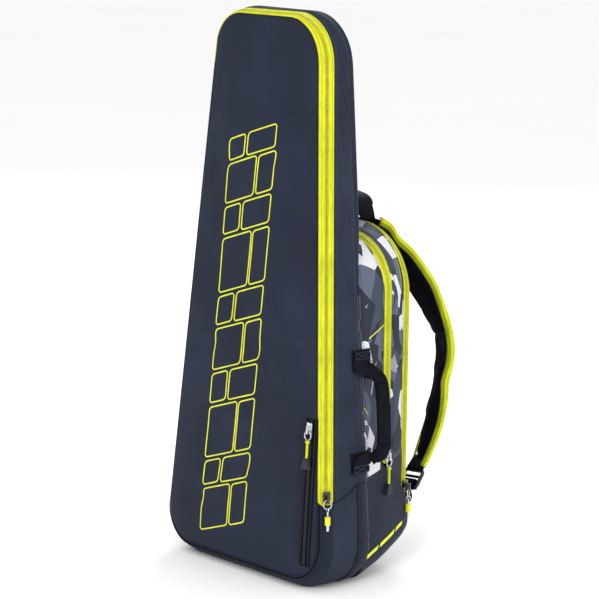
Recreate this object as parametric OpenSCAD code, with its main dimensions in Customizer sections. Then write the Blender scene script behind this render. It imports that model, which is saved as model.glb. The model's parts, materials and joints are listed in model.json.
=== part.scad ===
// Racket backpack: a tall racket compartment that tapers towards the top, two
// shorter compartments behind it, a carry handle on the side, a grab handle on
// top and a pair of shoulder straps.
// +X is to the right seen from the front, -Y is the front and +Z is up. The
// origin is on the floor, below the rear wall of the racket compartment.

/* [Racket compartment] */
// Height of the whole bag
bag_h = 765; // [740:5:790]
// Half width of the front panel at the low station
low_half_w = 154; // [146:1:160]
// Half width of the front panel at the high station
high_half_w = 105; // [98:1:112]
// Depth of the compartment at the low station
low_depth = 85; // [78:1:92]
// Depth of the compartment at the high station
high_depth = 50; // [44:1:56]
// Radius of the top left-hand corner
top_left_r = 60; // [50:1:72]
// Radius of the top right-hand corner, which sags more
top_right_r = 66; // [50:1:72]
// Radius of the two bottom corners
foot_r = 42; // [34:1:46]
// Thickness of the foam-lined front panel
panel_t = 6; // [4:0.5:7]
// Thickness of the foam-lined side, top and rear walls
wall_t = 3.5; // [2.5:0.5:4]

/* [Zips] */
// How far the main zip runs back from the front panel
zip_back = 22; // [20:1:24]
// How far the main zip steps out beyond the front panel
zip_out = 6; // [4:1:8]
// Height of the main zip's lower end
zip_low = 122; // [110:2:140]
// Height of the main zip's upper end, on the far side
zip_far = 690; // [670:5:700]
// Height at which the flap's fold meets the right-hand edge
fold_low = 250; // [246:2:270]
// Thickness of every zip tape
tape_t = 1.2; // [1:0.1:1.4]
// Height of every zip coil above its tape
coil_h = 1.4; // [1.2:0.1:1.6]

/* [Rear compartments] */
// Depth at which the inner zip starts
inner_zip_y = 45; // [42:1:48]
// Depth at which the rear strip starts
rear_strip_y = 61; // [60:1:62]
// Depth at which the outer zip starts
outer_zip_y = 99; // [97:1:101]
// Depth of the back panel's inner face
back_y = 110; // [110:1:111]
// Thickness of the back panel
back_t = 5; // [4:0.5:6]
// Height at which the lower shell's top edge meets the racket compartment
shell_h = 146; // [140:1:150]
// Height of the rear hinge line
hinge_z = 80; // [76:1:84]

/* [Straps and handles] */
// Greatest width of a shoulder strap
strap_w = 65; // [60:1:68]
// Thickness of a shoulder strap
strap_t = 10; // [8:0.5:11]
// Width of the side handle's folded grip
grip_w = 20; // [18:1:24]
// Width of the grab handle
grab_w = 34; // [28:1:36]

/* [Hidden] */

slate = [0.20, 0.24, 0.29];
slate_weave = [0.23, 0.27, 0.33];
yellow = [0.85, 0.87, 0.15];
ink = [0.07, 0.07, 0.11];
camo = [0.47, 0.52, 0.60];
silver = [0.75, 0.76, 0.78];

gap = 0.4;
turn_steps = 8;
round_fn = 32;

// Racket compartment: both stations, the taper and the lean of the front.
low_z = 80;
high_z = 700;
taper = (low_half_w - high_half_w) / (high_z - low_z);
side_lean = atan(taper);
tilt = atan((low_depth - high_depth) / (high_z - low_z));
front_foot_y = -(low_depth + low_z * tan(tilt));
panel_foot = 15;
panel_top = (bag_h + zip_back * sin(tilt)) / cos(tilt) - zip_out;
zip_lean = atan(zip_out / zip_back);
zip_w = norm([zip_out, zip_back]);
coil_w = 2.4;
slot_w = 1.8;

function half_w(z) = low_half_w + (low_z - z) * taper;
function unit(a) = [cos(a), sin(a)];

// A rounded corner of an outline: v is the sharp corner, and a and b are the
// directions that its two edges face.
function corner(v, a, b, r) =
    let (c = v - r * (unit(a) + unit(b)) / (1 + unit(a) * unit(b)))
    [for (i = [0 : turn_steps]) c + r * unit(a + (b - a) * i / turn_steps)];

function side_x(z, out) = half_w(z) + out / cos(side_lean);

// The tapering outline of the racket compartment, out beyond the front panel's
// edge, in three forms: the whole loop, over the top, and round the bottom.
function over_top(out, top) = concat(
    corner([side_x(top, out), top], side_lean, 90, top_right_r + out),
    corner([-side_x(top, out), top], 90, 180 - side_lean, top_left_r + out));
function round_bottom(out, foot) = concat(
    corner([-side_x(foot, out), foot], 180 - side_lean, 270, foot_r + out),
    corner([side_x(foot, out), foot], -90, side_lean, foot_r + out));
function loop(out, foot, top) = concat(over_top(out, top), round_bottom(out, foot));
function arch(out, right, left) = concat([[side_x(right, out), right]],
    over_top(out, panel_top + out), [[-side_x(left, out), left]]);
function cup(out, foot, left, right) = concat([[-side_x(left, out), left]],
    round_bottom(out, foot), [[side_x(right, out), right]]);

// The front panel's own frame: depth 0 is its outer face.
module on_front() translate([0, front_foot_y, 0]) rotate([-tilt, 0, 0]) children();
function front_rail(path, depth) = [for (p = path)
    [p.x, front_foot_y + depth * cos(tilt) + p.y * sin(tilt), p.y * cos(tilt) - depth * sin(tilt)]];

// A band swept along rails, each a list of points: outer front, outer rear,
// inner rear and inner front.
module band(rails) {
    m = len(rails);
    n = len(rails[0]);
    points = [for (i = [0 : n - 1]) for (k = [0 : m - 1]) rails[k][i]];
    skin = [for (i = [0 : n - 2]) for (k = [0 : m - 1])
        let (a = i * m + k, b = i * m + (k + 1) % m)
        each [[a, b, b + m], [a, b + m, a + m]]];
    ends = [[for (k = [m - 1 : -1 : 0]) k], [for (k = [0 : m - 1]) (n - 1) * m + k]];
    polyhedron(points, concat(skin, ends), convexity = 6);
}

// A rail of the main zip: f runs across it from the panel to the gusset, and h
// is the height above it.
function zip_rail(f, h, right, left) = front_rail(
    arch(zip_out * f + h * cos(zip_lean), right, left), zip_back * f - h * sin(zip_lean));
function side_rail(f, h, low, high) = front_rail(
    [for (s = [low, high]) [side_x(s, zip_out * f + h * cos(zip_lean)), s]],
    zip_back * f - h * sin(zip_lean));
slot_f = slot_w / 2 / zip_w;
coil_f = slot_f + coil_w / zip_w;
clear_of_fold = 7;

module zip_strip(f0, f1, h0, h1, right, left)
    band([zip_rail(f0, h1, right, left), zip_rail(f1, h1, right, left),
        zip_rail(f1, h0, right, left), zip_rail(f0, h0, right, left)]);
module zip_side_strip(f0, f1, h0, h1, low, high)
    band([side_rail(f0, h1, low, high), side_rail(f1, h1, low, high),
        side_rail(f1, h0, low, high), side_rail(f0, h0, low, high)]);

// The fold between the fixed part of the front panel and its flap.
fold_a = [half_w(fold_low), fold_low];
fold_b = [-half_w(zip_far), zip_far];
fold_dir = (fold_b - fold_a) / norm(fold_b - fold_a);
fold_normal = [fold_dir.y, -fold_dir.x];
module beyond_fold(side) let (past = bag_h / 2, near = side * gap / 2, away = side * bag_h) polygon([
    fold_a - past * fold_dir + near * fold_normal,
    fold_b + past * fold_dir + near * fold_normal,
    fold_b + past * fold_dir + away * fold_normal,
    fold_a - past * fold_dir + away * fold_normal]);
panel_inset = 1.6;
module panel_part(side) on_front() rotate([90, 0, 0]) translate([0, 0, -panel_t])
    linear_extrude(panel_t) intersection() {
        polygon(loop(-panel_inset, panel_foot + panel_inset, panel_top - panel_inset));
        beyond_fold(side);
    }

module base_board() color("dimgray")
    translate([-low_half_w + foot_r, -low_depth + zip_back + 4, wall_t + gap])
        cube([2 * (low_half_w - foot_r), low_depth - zip_back - wall_t - 6, 4]);

module racket_gusset() color(slate_weave) difference() {
    rotate([90, 0, 0]) linear_extrude(2 * low_depth) difference() {
        polygon(loop(zip_out, 0, bag_h));
        polygon(loop(zip_out - wall_t, wall_t, bag_h - wall_t));
    }
    on_front() translate([-low_half_w * 2, -low_depth * 2, -low_depth])
        cube([low_half_w * 4, low_depth * 2 + zip_back + 0.1, bag_h * 1.3]);
}

module racket_rear_wall() color(slate) rotate([90, 0, 0])
    linear_extrude(wall_t)
        polygon(loop(zip_out - wall_t - 0.1, wall_t + 0.1, bag_h - wall_t - 0.1));

module front_panel() color(slate) panel_part(-1);
module front_flap() color(slate) panel_part(1);

wrap_t = 2;
wrap_foot = zip_back * sin(tilt);
module front_wrap() color(slate_weave) band([
    front_rail(cup(0, panel_foot, zip_far - gap, zip_low - gap), 0),
    front_rail(cup(zip_out, wrap_foot, zip_far - gap, zip_low - gap), zip_back),
    front_rail(cup(zip_out - wrap_t, wrap_foot + wrap_t, zip_far - gap, zip_low - gap), zip_back),
    front_rail(cup(-panel_inset + 0.1, panel_foot + panel_inset - 0.1, zip_far - gap, zip_low - gap), 0.6)]);

module main_zip_gusset_tape() color(yellow)
    zip_strip(0.5 + slot_f, 0.98, -tape_t, 0, zip_low, zip_far);
module main_zip_gusset_coil() color("gold")
    zip_strip(0.5 + slot_f, 0.5 + coil_f, 0, coil_h, zip_low, zip_far);
module main_zip_lower_tape() color(yellow) {
    zip_side_strip(0, 0.5 - slot_f, -tape_t, 0, zip_low, fold_low - clear_of_fold);
    zip_side_strip(0.5 - coil_f, 0.5 - slot_f, 0, coil_h, zip_low, fold_low - clear_of_fold);
}
module flap_zip_tape() color(yellow)
    zip_strip(0, 0.5 - slot_f, -tape_t, 0, fold_low + gap, zip_far + clear_of_fold);
module flap_zip_coil() color("gold")
    zip_strip(0.5 - coil_f, 0.5 - slot_f, 0, coil_h, fold_low + gap, zip_far + clear_of_fold);

// Sliders and pulls are drawn in a frame of their own: X points out of the
// zip, Y across it and Z up it, with the zip's face at X = 0.
slider_w = 10;
slider_l = 15;
slider_t = 1.6;
eye_r = 1.4;
eye_x = coil_h + gap + slider_t + 1.9;
eye_z = 4;
bridge_w = 3;
keel_w = 1;
module slider() {
    under_x = -tape_t - gap;
    difference() {
        union() {
            translate([coil_h + gap, -slider_w / 2, 0]) cube([slider_t, slider_w, slider_l]);
            translate([coil_h + gap, -bridge_w / 2, 0]) cube([slider_t + 4.4, bridge_w, 11]);
            translate([under_x - 1, -keel_w / 2, 5]) cube([coil_h + gap + 1 - under_x, keel_w, 6]);
            translate([under_x - 1.2, -slider_w / 2 + 0.5, 0]) cube([1.2, slider_w - 1, slider_l]);
        }
        translate([eye_x, 0, eye_z]) rotate([90, 0, 0])
            cylinder(r = eye_r, h = slider_w, center = true, $fn = round_fn);
    }
}
// Plain slider for a zip laid on a panel, with nothing under the tape.
module surface_slider() difference() {
    union() {
        translate([coil_h + gap, -slider_w / 2, 0]) cube([slider_t, slider_w, slider_l]);
        translate([coil_h + gap, -bridge_w / 2, 0]) cube([slider_t + 4.4, bridge_w, 11]);
        translate([-tape_t + 0.4, -keel_w / 2, 5]) cube([coil_h + gap + tape_t, keel_w, 6]);
    }
    translate([eye_x, 0, eye_z]) rotate([90, 0, 0])
        cylinder(r = eye_r, h = slider_w, center = true, $fn = round_fn);
}

ring_r = 6;
wire_r = 0.8;
ring_foot = eye_z - 2 * ring_r;
link_r = 2.6;
stem_top = ring_foot - 2 * link_r;
barrel_top = stem_top - 5;
barrel_l = 11;
tip_l = 8;
module ring() translate([eye_x, 0, eye_z - ring_r]) rotate([0, 90, 0])
    rotate_extrude($fn = round_fn) translate([ring_r, 0]) circle(wire_r, $fn = 16);
module clasp() {
    translate([eye_x, 0, ring_foot - link_r + 1.8]) rotate([90, 0, 0])
        rotate_extrude($fn = round_fn) translate([link_r, 0]) circle(wire_r, $fn = 16);
    translate([eye_x, 0, barrel_top]) cylinder(r = 1.3, h = stem_top - barrel_top + 2.2, $fn = round_fn);
}
module barrel() translate([eye_x, 0, barrel_top - barrel_l])
    cylinder(r = 3.8, h = barrel_l, $fn = round_fn);
module tip() translate([eye_x, 0, barrel_top - barrel_l - tip_l])
    cylinder(r1 = 1.9, r2 = 2.4, h = tip_l, $fn = round_fn);
cord_l = 20;
cord_r = 1.7;
module pull_cord() {
    translate([eye_x, 0, ring_foot - 4.2]) cylinder(r = 3, h = 3.2, $fn = round_fn);
    translate([eye_x, 0, ring_foot - 4.2 - cord_l]) cylinder(r = cord_r, h = cord_l, $fn = round_fn);
}
module pull_end() translate([eye_x, 0, ring_foot - 4.2 - cord_l]) rotate([90, 0, 90])
    translate([0, 0, -2.4]) linear_extrude(4.8)
        polygon([[-3.4, 0], [3.4, 0], [7.2, -15], [-7.2, -15]]);

// Where each zip's slider rests.
main_rest = zip_low + 4;
module on_main_zip() on_front() translate([side_x(main_rest, zip_out / 2), zip_back / 2, main_rest])
    rotate([0, -side_lean, 0]) rotate([0, 0, -zip_lean]) children();
module main_zip_slider() color(ink) on_main_zip() slider();
module main_pull_ring() color(silver) on_main_zip() ring();
module main_pull_clasp() color(silver) on_main_zip() clasp();
module main_pull_barrel() color(yellow) on_main_zip() barrel();
module main_pull_tip() color(silver) on_main_zip() tip();

// Pocket zip, laid on the front panel below the fold.
pocket_top = 236;
pocket_foot = 36;
pocket_x = 130;
pocket_tape_w = 23;
pocket_rest = pocket_top - slider_l - 5;
module on_pocket(z) on_front() translate([pocket_x, -tape_t, z]) rotate([0, 0, -90]) children();
module pocket_strip(w, x0, x1) on_pocket(pocket_foot) difference() {
    translate([x0, -w / 2, 0]) cube([x1 - x0, w, pocket_top - pocket_foot]);
    translate([x0 - 1, -slot_w / 2, 4]) cube([x1 - x0 + 2, slot_w, pocket_top - pocket_foot - 8]);
}
module pocket_zip_tape() color(ink) pocket_strip(pocket_tape_w, -tape_t, 0);
module pocket_zip_coil() color(ink) pocket_strip(2 * coil_w + slot_w, 0, coil_h);
module pocket_pouch() color("dimgray") on_front()
    translate([20, panel_t + gap, pocket_foot]) cube([116, 2, 196]);
module pocket_zip_slider() color(silver) on_pocket(pocket_rest) surface_slider();
module pocket_pull_ring() color(silver) on_pocket(pocket_rest) ring();
module pocket_pull_cord() color(yellow) on_pocket(pocket_rest) pull_cord();
module pocket_pull_end() color(ink) on_pocket(pocket_rest) pull_end();

// Lower shell: the closed base below both rear compartments. Its plan narrows
// towards the back, and its top edge falls from the racket compartment to the
// rear hinge.
shell_plan = [[0, 150], [inner_zip_y, 142], [rear_strip_y, 138], [outer_zip_y, 128], [117, 120], [121, 112]];
flat_y = 42;
shell_back_y = 121;
module shell_outline(inset) polygon(concat(
    [[shell_plan[0][1] - inset, inset > 0 ? -1 : gap]],
    [for (p = shell_plan) if (p[0] > 0) [p[1] - inset, p[0] - inset]],
    [for (i = [len(shell_plan) - 1 : -1 : 1]) [inset - shell_plan[i][1], shell_plan[i][0] - inset]],
    [[inset - shell_plan[0][1], inset > 0 ? -1 : gap]]));
function split_z(y) = y < rear_strip_y ? shell_h + 8 * y / rear_strip_y :
    shell_h + 8 - (shell_h + 8 - hinge_z) * (y - rear_strip_y) / (shell_back_y - rear_strip_y);
module shell_profile(lift, front) polygon([[front, lift], [flat_y, lift], [61, 12 + lift],
    [93, 28 + lift], [116, 40 + lift], [shell_back_y + lift, 58],
    [shell_back_y + lift, hinge_z - gap / 2], [rear_strip_y, split_z(rear_strip_y) - gap / 2],
    [rear_strip_y - gap, split_z(0) + 8], [inner_zip_y, split_z(inner_zip_y)],
    [front, split_z(0)]]);
module along_x(w) translate([-w, 0, 0]) rotate([90, 0, 90]) linear_extrude(2 * w) children();
shell_t = 2.5;
module lower_shell() color(slate) difference() {
    intersection() {
        linear_extrude(200) shell_outline(0);
        along_x(160) shell_profile(0, gap);
    }
    intersection() {
        translate([0, 0, -1]) linear_extrude(300) shell_outline(shell_t);
        along_x(160) polygon([[-5, shell_t], [flat_y, shell_t], [61, 12 + shell_t],
            [93, 28 + shell_t], [116, 40 + shell_t], [shell_back_y, 58], [shell_back_y, 250], [-5, 250]]);
    }
}

// Arches of the rear compartments: from the right foot over the top to the
// left foot, at one depth.
function rear_arch(low_w, high_w, top, r, y, right, left) = let (
    lean = atan((low_w - high_w) / (top - shell_h)),
    w = function (z) low_w - (z - shell_h) * tan(lean))
    [for (p = concat([[w(right), right]], corner([w(top), top], lean, 90, r),
        corner([-w(top), top], 90, 180 - lean, r), [[-w(left), left]])) [p.x, y, p.y]];
// The rings at which the rear strips and zips meet: half width at the foot and
// at the top, top height, corner radius and depth.
ring_seam = [153, 127, 457, 62, gap + 0.6];
ring_inner_a = [141, 139, 463, 74, inner_zip_y];
ring_inner_b = [138, 136, 468, 77, rear_strip_y];
ring_outer_a = [128, 127, 474, 88, outer_zip_y];
ring_outer_b = [120, 120, 470, 92, back_y + 2];
function mix_rings(a, b, f) = a + (b - a) * f;
function ring_turn(a, b) = atan((a[0] - b[0]) / (b[4] - a[4]));
function raise(ring, out, turn) = let (across = out * cos(turn))
    ring + [across, across, across, across, out * sin(turn)];
function ring_rail(ring, low) = rear_arch(ring[0], ring[1], ring[2], ring[3], ring[4], low, low);
module ring_band(a, b, t_in, t_out, low_a, low_b) let (turn = ring_turn(a, b)) band([
    ring_rail(raise(a, t_out, turn), low_a), ring_rail(raise(b, t_out, turn), low_b),
    ring_rail(raise(b, t_in, turn), low_b), ring_rail(raise(a, t_in, turn), low_a)]);
function band_w(a, b) = norm([a[0] - b[0], a[4] - b[4]]);

strip_t = 2;
module side_strip() color(camo) ring_band(ring_seam, mix_rings(ring_seam, ring_inner_a, 0.995),
    -strip_t, 0, split_z(0) + 1, split_z(inner_zip_y) + 1);
inner_slot = slot_w / 2 / band_w(ring_inner_a, ring_inner_b);
inner_coil = inner_slot + coil_w / band_w(ring_inner_a, ring_inner_b);
outer_slot = slot_w / 2 / band_w(ring_outer_a, ring_outer_b);
outer_coil = outer_slot + coil_w / band_w(ring_outer_a, ring_outer_b);
inner_low = split_z(rear_strip_y) + 3;
outer_low = 92;
coil_lift = 0.15;
module inner_part(f0, f1, t_in, t_out) ring_band(mix_rings(ring_inner_a, ring_inner_b, f0),
    mix_rings(ring_inner_a, ring_inner_b, f1), t_in, t_out, inner_low, inner_low);
module inner_zip_front_tape() color(yellow) inner_part(0, 0.5 - inner_slot, -tape_t, 0);
module inner_zip_front_coil() color("gold") inner_part(0.5 - inner_coil, 0.5 - inner_slot, coil_lift, coil_h);
module inner_zip_rear_tape() color(yellow) inner_part(0.5 + inner_slot, 1, -tape_t, 0);
module inner_zip_rear_coil() color("gold") inner_part(0.5 + inner_slot, 0.5 + inner_coil, coil_lift, coil_h);

rear_low = split_z(outer_zip_y) + 4;
module rear_strip() color(camo) ring_band(mix_rings(ring_inner_b, ring_outer_a, 0.005),
    mix_rings(ring_inner_b, ring_outer_a, 0.995), -strip_t, 0, inner_low, rear_low);
module outer_part(f0, f1, t_in, t_out, lift = 22) ring_band(mix_rings(ring_outer_a, ring_outer_b, f0),
    mix_rings(ring_outer_a, ring_outer_b, f1), t_in, t_out, outer_low + lift - 22 * f0, outer_low + lift - 22 * f1);
module outer_zip_front_tape() color(yellow) outer_part(0.03, 0.5 - outer_slot, -tape_t, 0);
module outer_zip_front_coil() color("gold") outer_part(0.5 - outer_coil, 0.5 - outer_slot, coil_lift, coil_h);
// The rear half starts above the resting slider.
rear_lift = 30 + slider_l;
module outer_zip_rear_tape() color(yellow) outer_part(0.5 + outer_slot, 1, -tape_t, 0, rear_lift);
module outer_zip_rear_coil() color("gold")
    outer_part(0.5 + outer_slot, 0.5 + outer_coil, coil_lift, coil_h, rear_lift);

// Divider between the two rear compartments, with the floor of the outer one.
divider_t = 2;
module compartment_divider() color("dimgray") intersection() {
    along_x(160) polygon([[rear_strip_y + 3, inner_low], [rear_strip_y + 3, 465],
        [rear_strip_y + 3 + divider_t, 465], [rear_strip_y + 3 + divider_t, inner_low + 1],
        [107, split_z(107) + 5], [107, split_z(107) + 2.5]]);
    translate([0, 0, -1]) linear_extrude(500) polygon([[-126, 62], [126, 62], [110, 108], [-110, 108]]);
    rotate([90, 0, 0]) translate([0, 0, -200]) linear_extrude(200)
        polygon([for (p = rear_arch(132, 130, 464, 76, 0, 60, 60)) [p.x, p.z]]);
}

module flat_arch(w, top, r, low, y, t) translate([0, y + t, 0]) rotate([90, 0, 0]) linear_extrude(t)
    polygon([for (p = rear_arch(w, w, top, r, 0, low, low)) [p.x, p.z]]);
module back_panel() color(ink) flat_arch(116.5, 466, 90, hinge_z + 15, back_y, back_t);
pad_t = 6;
module back_pads() color([0.10, 0.10, 0.14]) {
    for (side = [-1, 1]) translate([side * 58, back_y + back_t, 150]) rotate([-90, 0, 0])
        linear_extrude(pad_t) offset(r = 14) square([42, 2], center = true);
    for (side = [-1, 1]) hull() for (z = [190, 400])
        translate([side * 58, back_y + back_t, z]) rotate([-90, 0, 0])
            cylinder(r = 30, h = pad_t, $fn = round_fn);
}

// Fixed ends of the shoulder straps and of the grab handle.
anchor_x = 44;
anchor_y = 119;
anchor_z = 456;
tab_x = 112;
tab_z = 106;
module strap_yoke() color(ink) {
    translate([-66, back_y + back_t, 436]) cube([132, 3, 26]);
    for (side = [-1, 1]) translate([side * anchor_x - 14, back_y + back_t + 3, 446])
        cube([28, 8, 14]);
}
module strap_lower_tabs() color(ink) for (side = [-1, 1])
    translate([side * tab_x - (side > 0 ? 16 : -2), back_y + back_t, tab_z - 14]) cube([14, 4, 28]);

inner_slider_z = inner_low + 4;
inner_mid = mix_rings(ring_inner_a, ring_inner_b, 0.5);
inner_turn = ring_turn(ring_inner_a, ring_inner_b);
function ring_x(ring, z) = ring[0] - (z - shell_h) * (ring[0] - ring[1]) / (ring[2] - shell_h);
module on_inner_zip() translate([ring_x(inner_mid, inner_slider_z), inner_mid[4], inner_slider_z])
    rotate([0, 0, inner_turn]) rotate([0, -atan((inner_mid[0] - inner_mid[1]) / (inner_mid[2] - shell_h)), 0])
        children();
module inner_zip_slider() color(silver) on_inner_zip() slider();
module inner_pull_ring() color(silver) on_inner_zip() ring();
module inner_pull_cord() color(yellow) on_inner_zip() pull_cord();
module inner_pull_end() color(ink) on_inner_zip() pull_end();

outer_slider_z = outer_low + 14;
outer_mid = mix_rings(ring_outer_a, ring_outer_b, 0.5);
outer_turn = ring_turn(ring_outer_a, ring_outer_b);
module on_outer_zip() translate([ring_x(outer_mid, outer_slider_z), outer_mid[4], outer_slider_z])
    rotate([0, 0, outer_turn]) children();
module outer_zip_slider() color(ink) on_outer_zip() slider();
module outer_pull_ring() color(silver) on_outer_zip() ring();
module outer_pull_clasp() color(silver) on_outer_zip() clasp();
module outer_pull_barrel() color(yellow) on_outer_zip() barrel();
module outer_pull_tip() color(silver) on_outer_zip() tip();

// Side handle: webbing folded into a narrow grip, on knuckles that turn in front
// of its two sewn ends. It rests swung towards the back.
grip_low = 168;
grip_y = -4;
knuckle_r = 3;
knuckle_x = 6.5;
knuckle_l = 8;
grip_foot = 4;
grip_top = 148;
grip_turn = 55;
arm_x = 15;
grip_x = 25;
grip_t = 6;
tab_w = 32;
tab_l = 28;
module on_side() translate([side_x(grip_low, zip_out), grip_y, grip_low]) rotate([0, -side_lean, 0]) children();
module side_handle_tabs() color(ink) on_side() {
    for (z = [-10, 134]) translate([0.02, -tab_w / 2, z]) cube([2.8, tab_w, tab_l]);
}
module side_handle() color(ink) on_side() translate([knuckle_x, 0, 0]) rotate([0, 0, grip_turn]) {
    for (z = [grip_foot, grip_top - knuckle_l]) translate([0, 0, z])
        cylinder(r = knuckle_r, h = knuckle_l, $fn = round_fn);
    translate([0, grip_w / 2, 0]) rotate([90, 0, 0]) linear_extrude(grip_w) polygon([
        [arm_x, grip_foot + 11], [grip_x, grip_foot + 19], [grip_x, grip_top - 19], [arm_x, grip_top - 11],
        [arm_x, grip_top - 19], [grip_x - grip_t, grip_top - 26], [grip_x - grip_t, grip_foot + 26],
        [arm_x, grip_foot + 19]]);
    translate([0, 2.5, 0]) rotate([90, 0, 0]) linear_extrude(5) for (end = [0, 1])
        polygon([for (p = [[1, 0], [arm_x + 2, 12], [arm_x + 2, 19], [1, knuckle_l]])
            [p.x, end == 0 ? grip_foot + p.y : grip_top - p.y]]);
}

// Grab handle: a padded loop over the top, on a knuckle at each side.
grab_y = 104;
grab_z = 481.5;
grab_half = 42;
grab_rise = 24;
grab_t = 4;
function half_oval(w, h) = [for (a = [0 : 10 : 180]) [w * cos(a), h * sin(a)]];
module top_handle() color(ink) {
    intersection() {
        translate([0, grab_y + grab_w / 2, grab_z + 6]) rotate([90, 0, 0]) linear_extrude(grab_w)
            difference() {
                polygon(half_oval(grab_half, grab_rise));
                polygon(concat([[-grab_half + grab_t, -1], [grab_half - grab_t, -1]],
                    half_oval(grab_half - grab_t, grab_rise - grab_t)));
            }
        along_x(grab_half + 1) translate([grab_y, grab_z]) polygon([[-3, 5], [3, 5],
            [grab_w / 2, 18], [grab_w / 2, 40], [-grab_w / 2, 40], [-grab_w / 2, 18]]);
    }
    for (side = [-1, 1]) translate([side * (grab_half - grab_t / 2), grab_y, grab_z]) {
        translate([-grab_t / 2, -3, 0]) cube([grab_t, 6, 7]);
        rotate([0, 90, 0]) cylinder(r = 3, h = grab_t, center = true, $fn = round_fn);
    }
}
module top_handle_anchors() color(ink) for (side = [-1, 1])
    translate([side * (grab_half - grab_t / 2), 0, 0]) {
        for (dx = [-grab_t / 2 - gap - 4, grab_t / 2 + gap]) translate([dx, grab_y - 4, grab_z - 6.5])
            cube([4, 8, 9.5]);
        translate([-grab_t / 2 - gap - 4, grab_y - 4, grab_z - 6.5])
            cube([2 * gap + 8 + grab_t, back_y + back_t + 3 - grab_y + 4, 2]);
        translate([-grab_t / 2 - gap - 4, back_y + back_t, 462.4])
            cube([2 * gap + 8 + grab_t, 3, grab_z - 4.5 - 462.4]);
    }

// Shoulder straps: the middle line of the right-hand pad from its upper end to
// its lower end, with the width of the pad there.
strap_knots = [[46, 138, 446, 46], [53, 160, 420, 60], [66, 190, 372, strap_w], [86, 214, 300, strap_w - 17],
    [90, 206, 240, strap_w - 17], [93, 188, 188, strap_w - 15], [96, 166, 146, 38]];
strap_steps = 5;
function spline(k, i, t) = let (
    a = k[max(i - 1, 0)], b = k[i], c = k[i + 1], d = k[min(i + 2, len(k) - 1)])
    0.5 * (2 * b + (c - a) * t + (2 * a - 5 * b + 4 * c - d) * t * t + (3 * b - a - 3 * c + d) * t * t * t);
strap_line = concat([for (i = [0 : len(strap_knots) - 2]) for (j = [0 : strap_steps - 1])
    spline(strap_knots, i, j / strap_steps)], [strap_knots[len(strap_knots) - 1]]);
function strap_normal(i) = let (
    a = strap_line[max(i - 1, 0)], b = strap_line[min(i + 1, len(strap_line) - 1)],
    d = [b[1] - a[1], b[2] - a[2]]) [-d.y, d.x] / norm(d);
function strap_rail(x, t) = [for (i = [0 : len(strap_line) - 1]) let (
    p = strap_line[i], n = strap_normal(i)) [p[0] + x * p[3] / 2, p[1] + t * n.x, p[2] + t * n.y]];
module strap_pad() color(ink) band([strap_rail(1, strap_t / 2), strap_rail(-1, strap_t / 2),
    strap_rail(-1, -strap_t / 2), strap_rail(1, -strap_t / 2)]);
buckle = [104, 160, 99];
web_t = 1.8;
web_w = 22;
module strap_webbing() color(ink) {
    hull() {
        translate([tab_x, anchor_y + 4, tab_z]) cube([web_t, 2, web_w], center = true);
        translate(buckle + [1, -10.6, 1]) cube([web_t, 2, web_w], center = true);
    }
    hull() {
        translate([94, 161.5, 137.8]) rotate([-30, 0, 0]) cube([26, 2, 2], center = true);
        translate(buckle + [0, 1, 15.6]) cube([24, 2, 2], center = true);
    }
}
module strap_buckle() color(ink) translate(buckle) rotate([-20, 0, 0]) difference() {
    cube([30, 8, 26], center = true);
    for (z = [-6, 6]) translate([0, 0, z]) cube([22, 10, 5], center = true);
}
module mirrored() mirror([1, 0, 0]) children();
module right_strap_pad() strap_pad();
module right_strap_webbing() strap_webbing();
module right_strap_buckle() strap_buckle();
module left_strap_pad() mirrored() strap_pad();
module left_strap_webbing() mirrored() strap_webbing();
module left_strap_buckle() mirrored() strap_buckle();

base_board();
racket_gusset();
racket_rear_wall();
front_panel();
front_wrap();
main_zip_gusset_tape();
main_zip_gusset_coil();
main_zip_lower_tape();
pocket_zip_tape();
pocket_zip_coil();
pocket_pouch();
lower_shell();
side_strip();
inner_zip_front_tape();
inner_zip_front_coil();
side_handle_tabs();
front_flap();
flap_zip_tape();
flap_zip_coil();
main_zip_slider();
main_pull_ring();
main_pull_clasp();
main_pull_barrel();
main_pull_tip();
pocket_zip_slider();
pocket_pull_ring();
pocket_pull_cord();
pocket_pull_end();
rear_strip();
compartment_divider();
inner_zip_rear_tape();
inner_zip_rear_coil();
outer_zip_front_tape();
outer_zip_front_coil();
back_panel();
back_pads();
outer_zip_rear_tape();
outer_zip_rear_coil();
strap_yoke();
strap_lower_tabs();
top_handle_anchors();
inner_zip_slider();
inner_pull_ring();
inner_pull_cord();
inner_pull_end();
outer_zip_slider();
outer_pull_ring();
outer_pull_clasp();
outer_pull_barrel();
outer_pull_tip();
side_handle();
top_handle();
right_strap_pad();
right_strap_webbing();
right_strap_buckle();
left_strap_pad();
left_strap_webbing();
left_strap_buckle();
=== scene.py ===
"""Racket backpack: the visible cloth, zips, webbing and trim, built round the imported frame.

All lengths are in metres. +X is to the right seen from the front, -Y is the front, +Z is up.
"""

import itertools
import json
import math

import bpy
import numpy as np
from mathutils import Matrix, Vector


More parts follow.
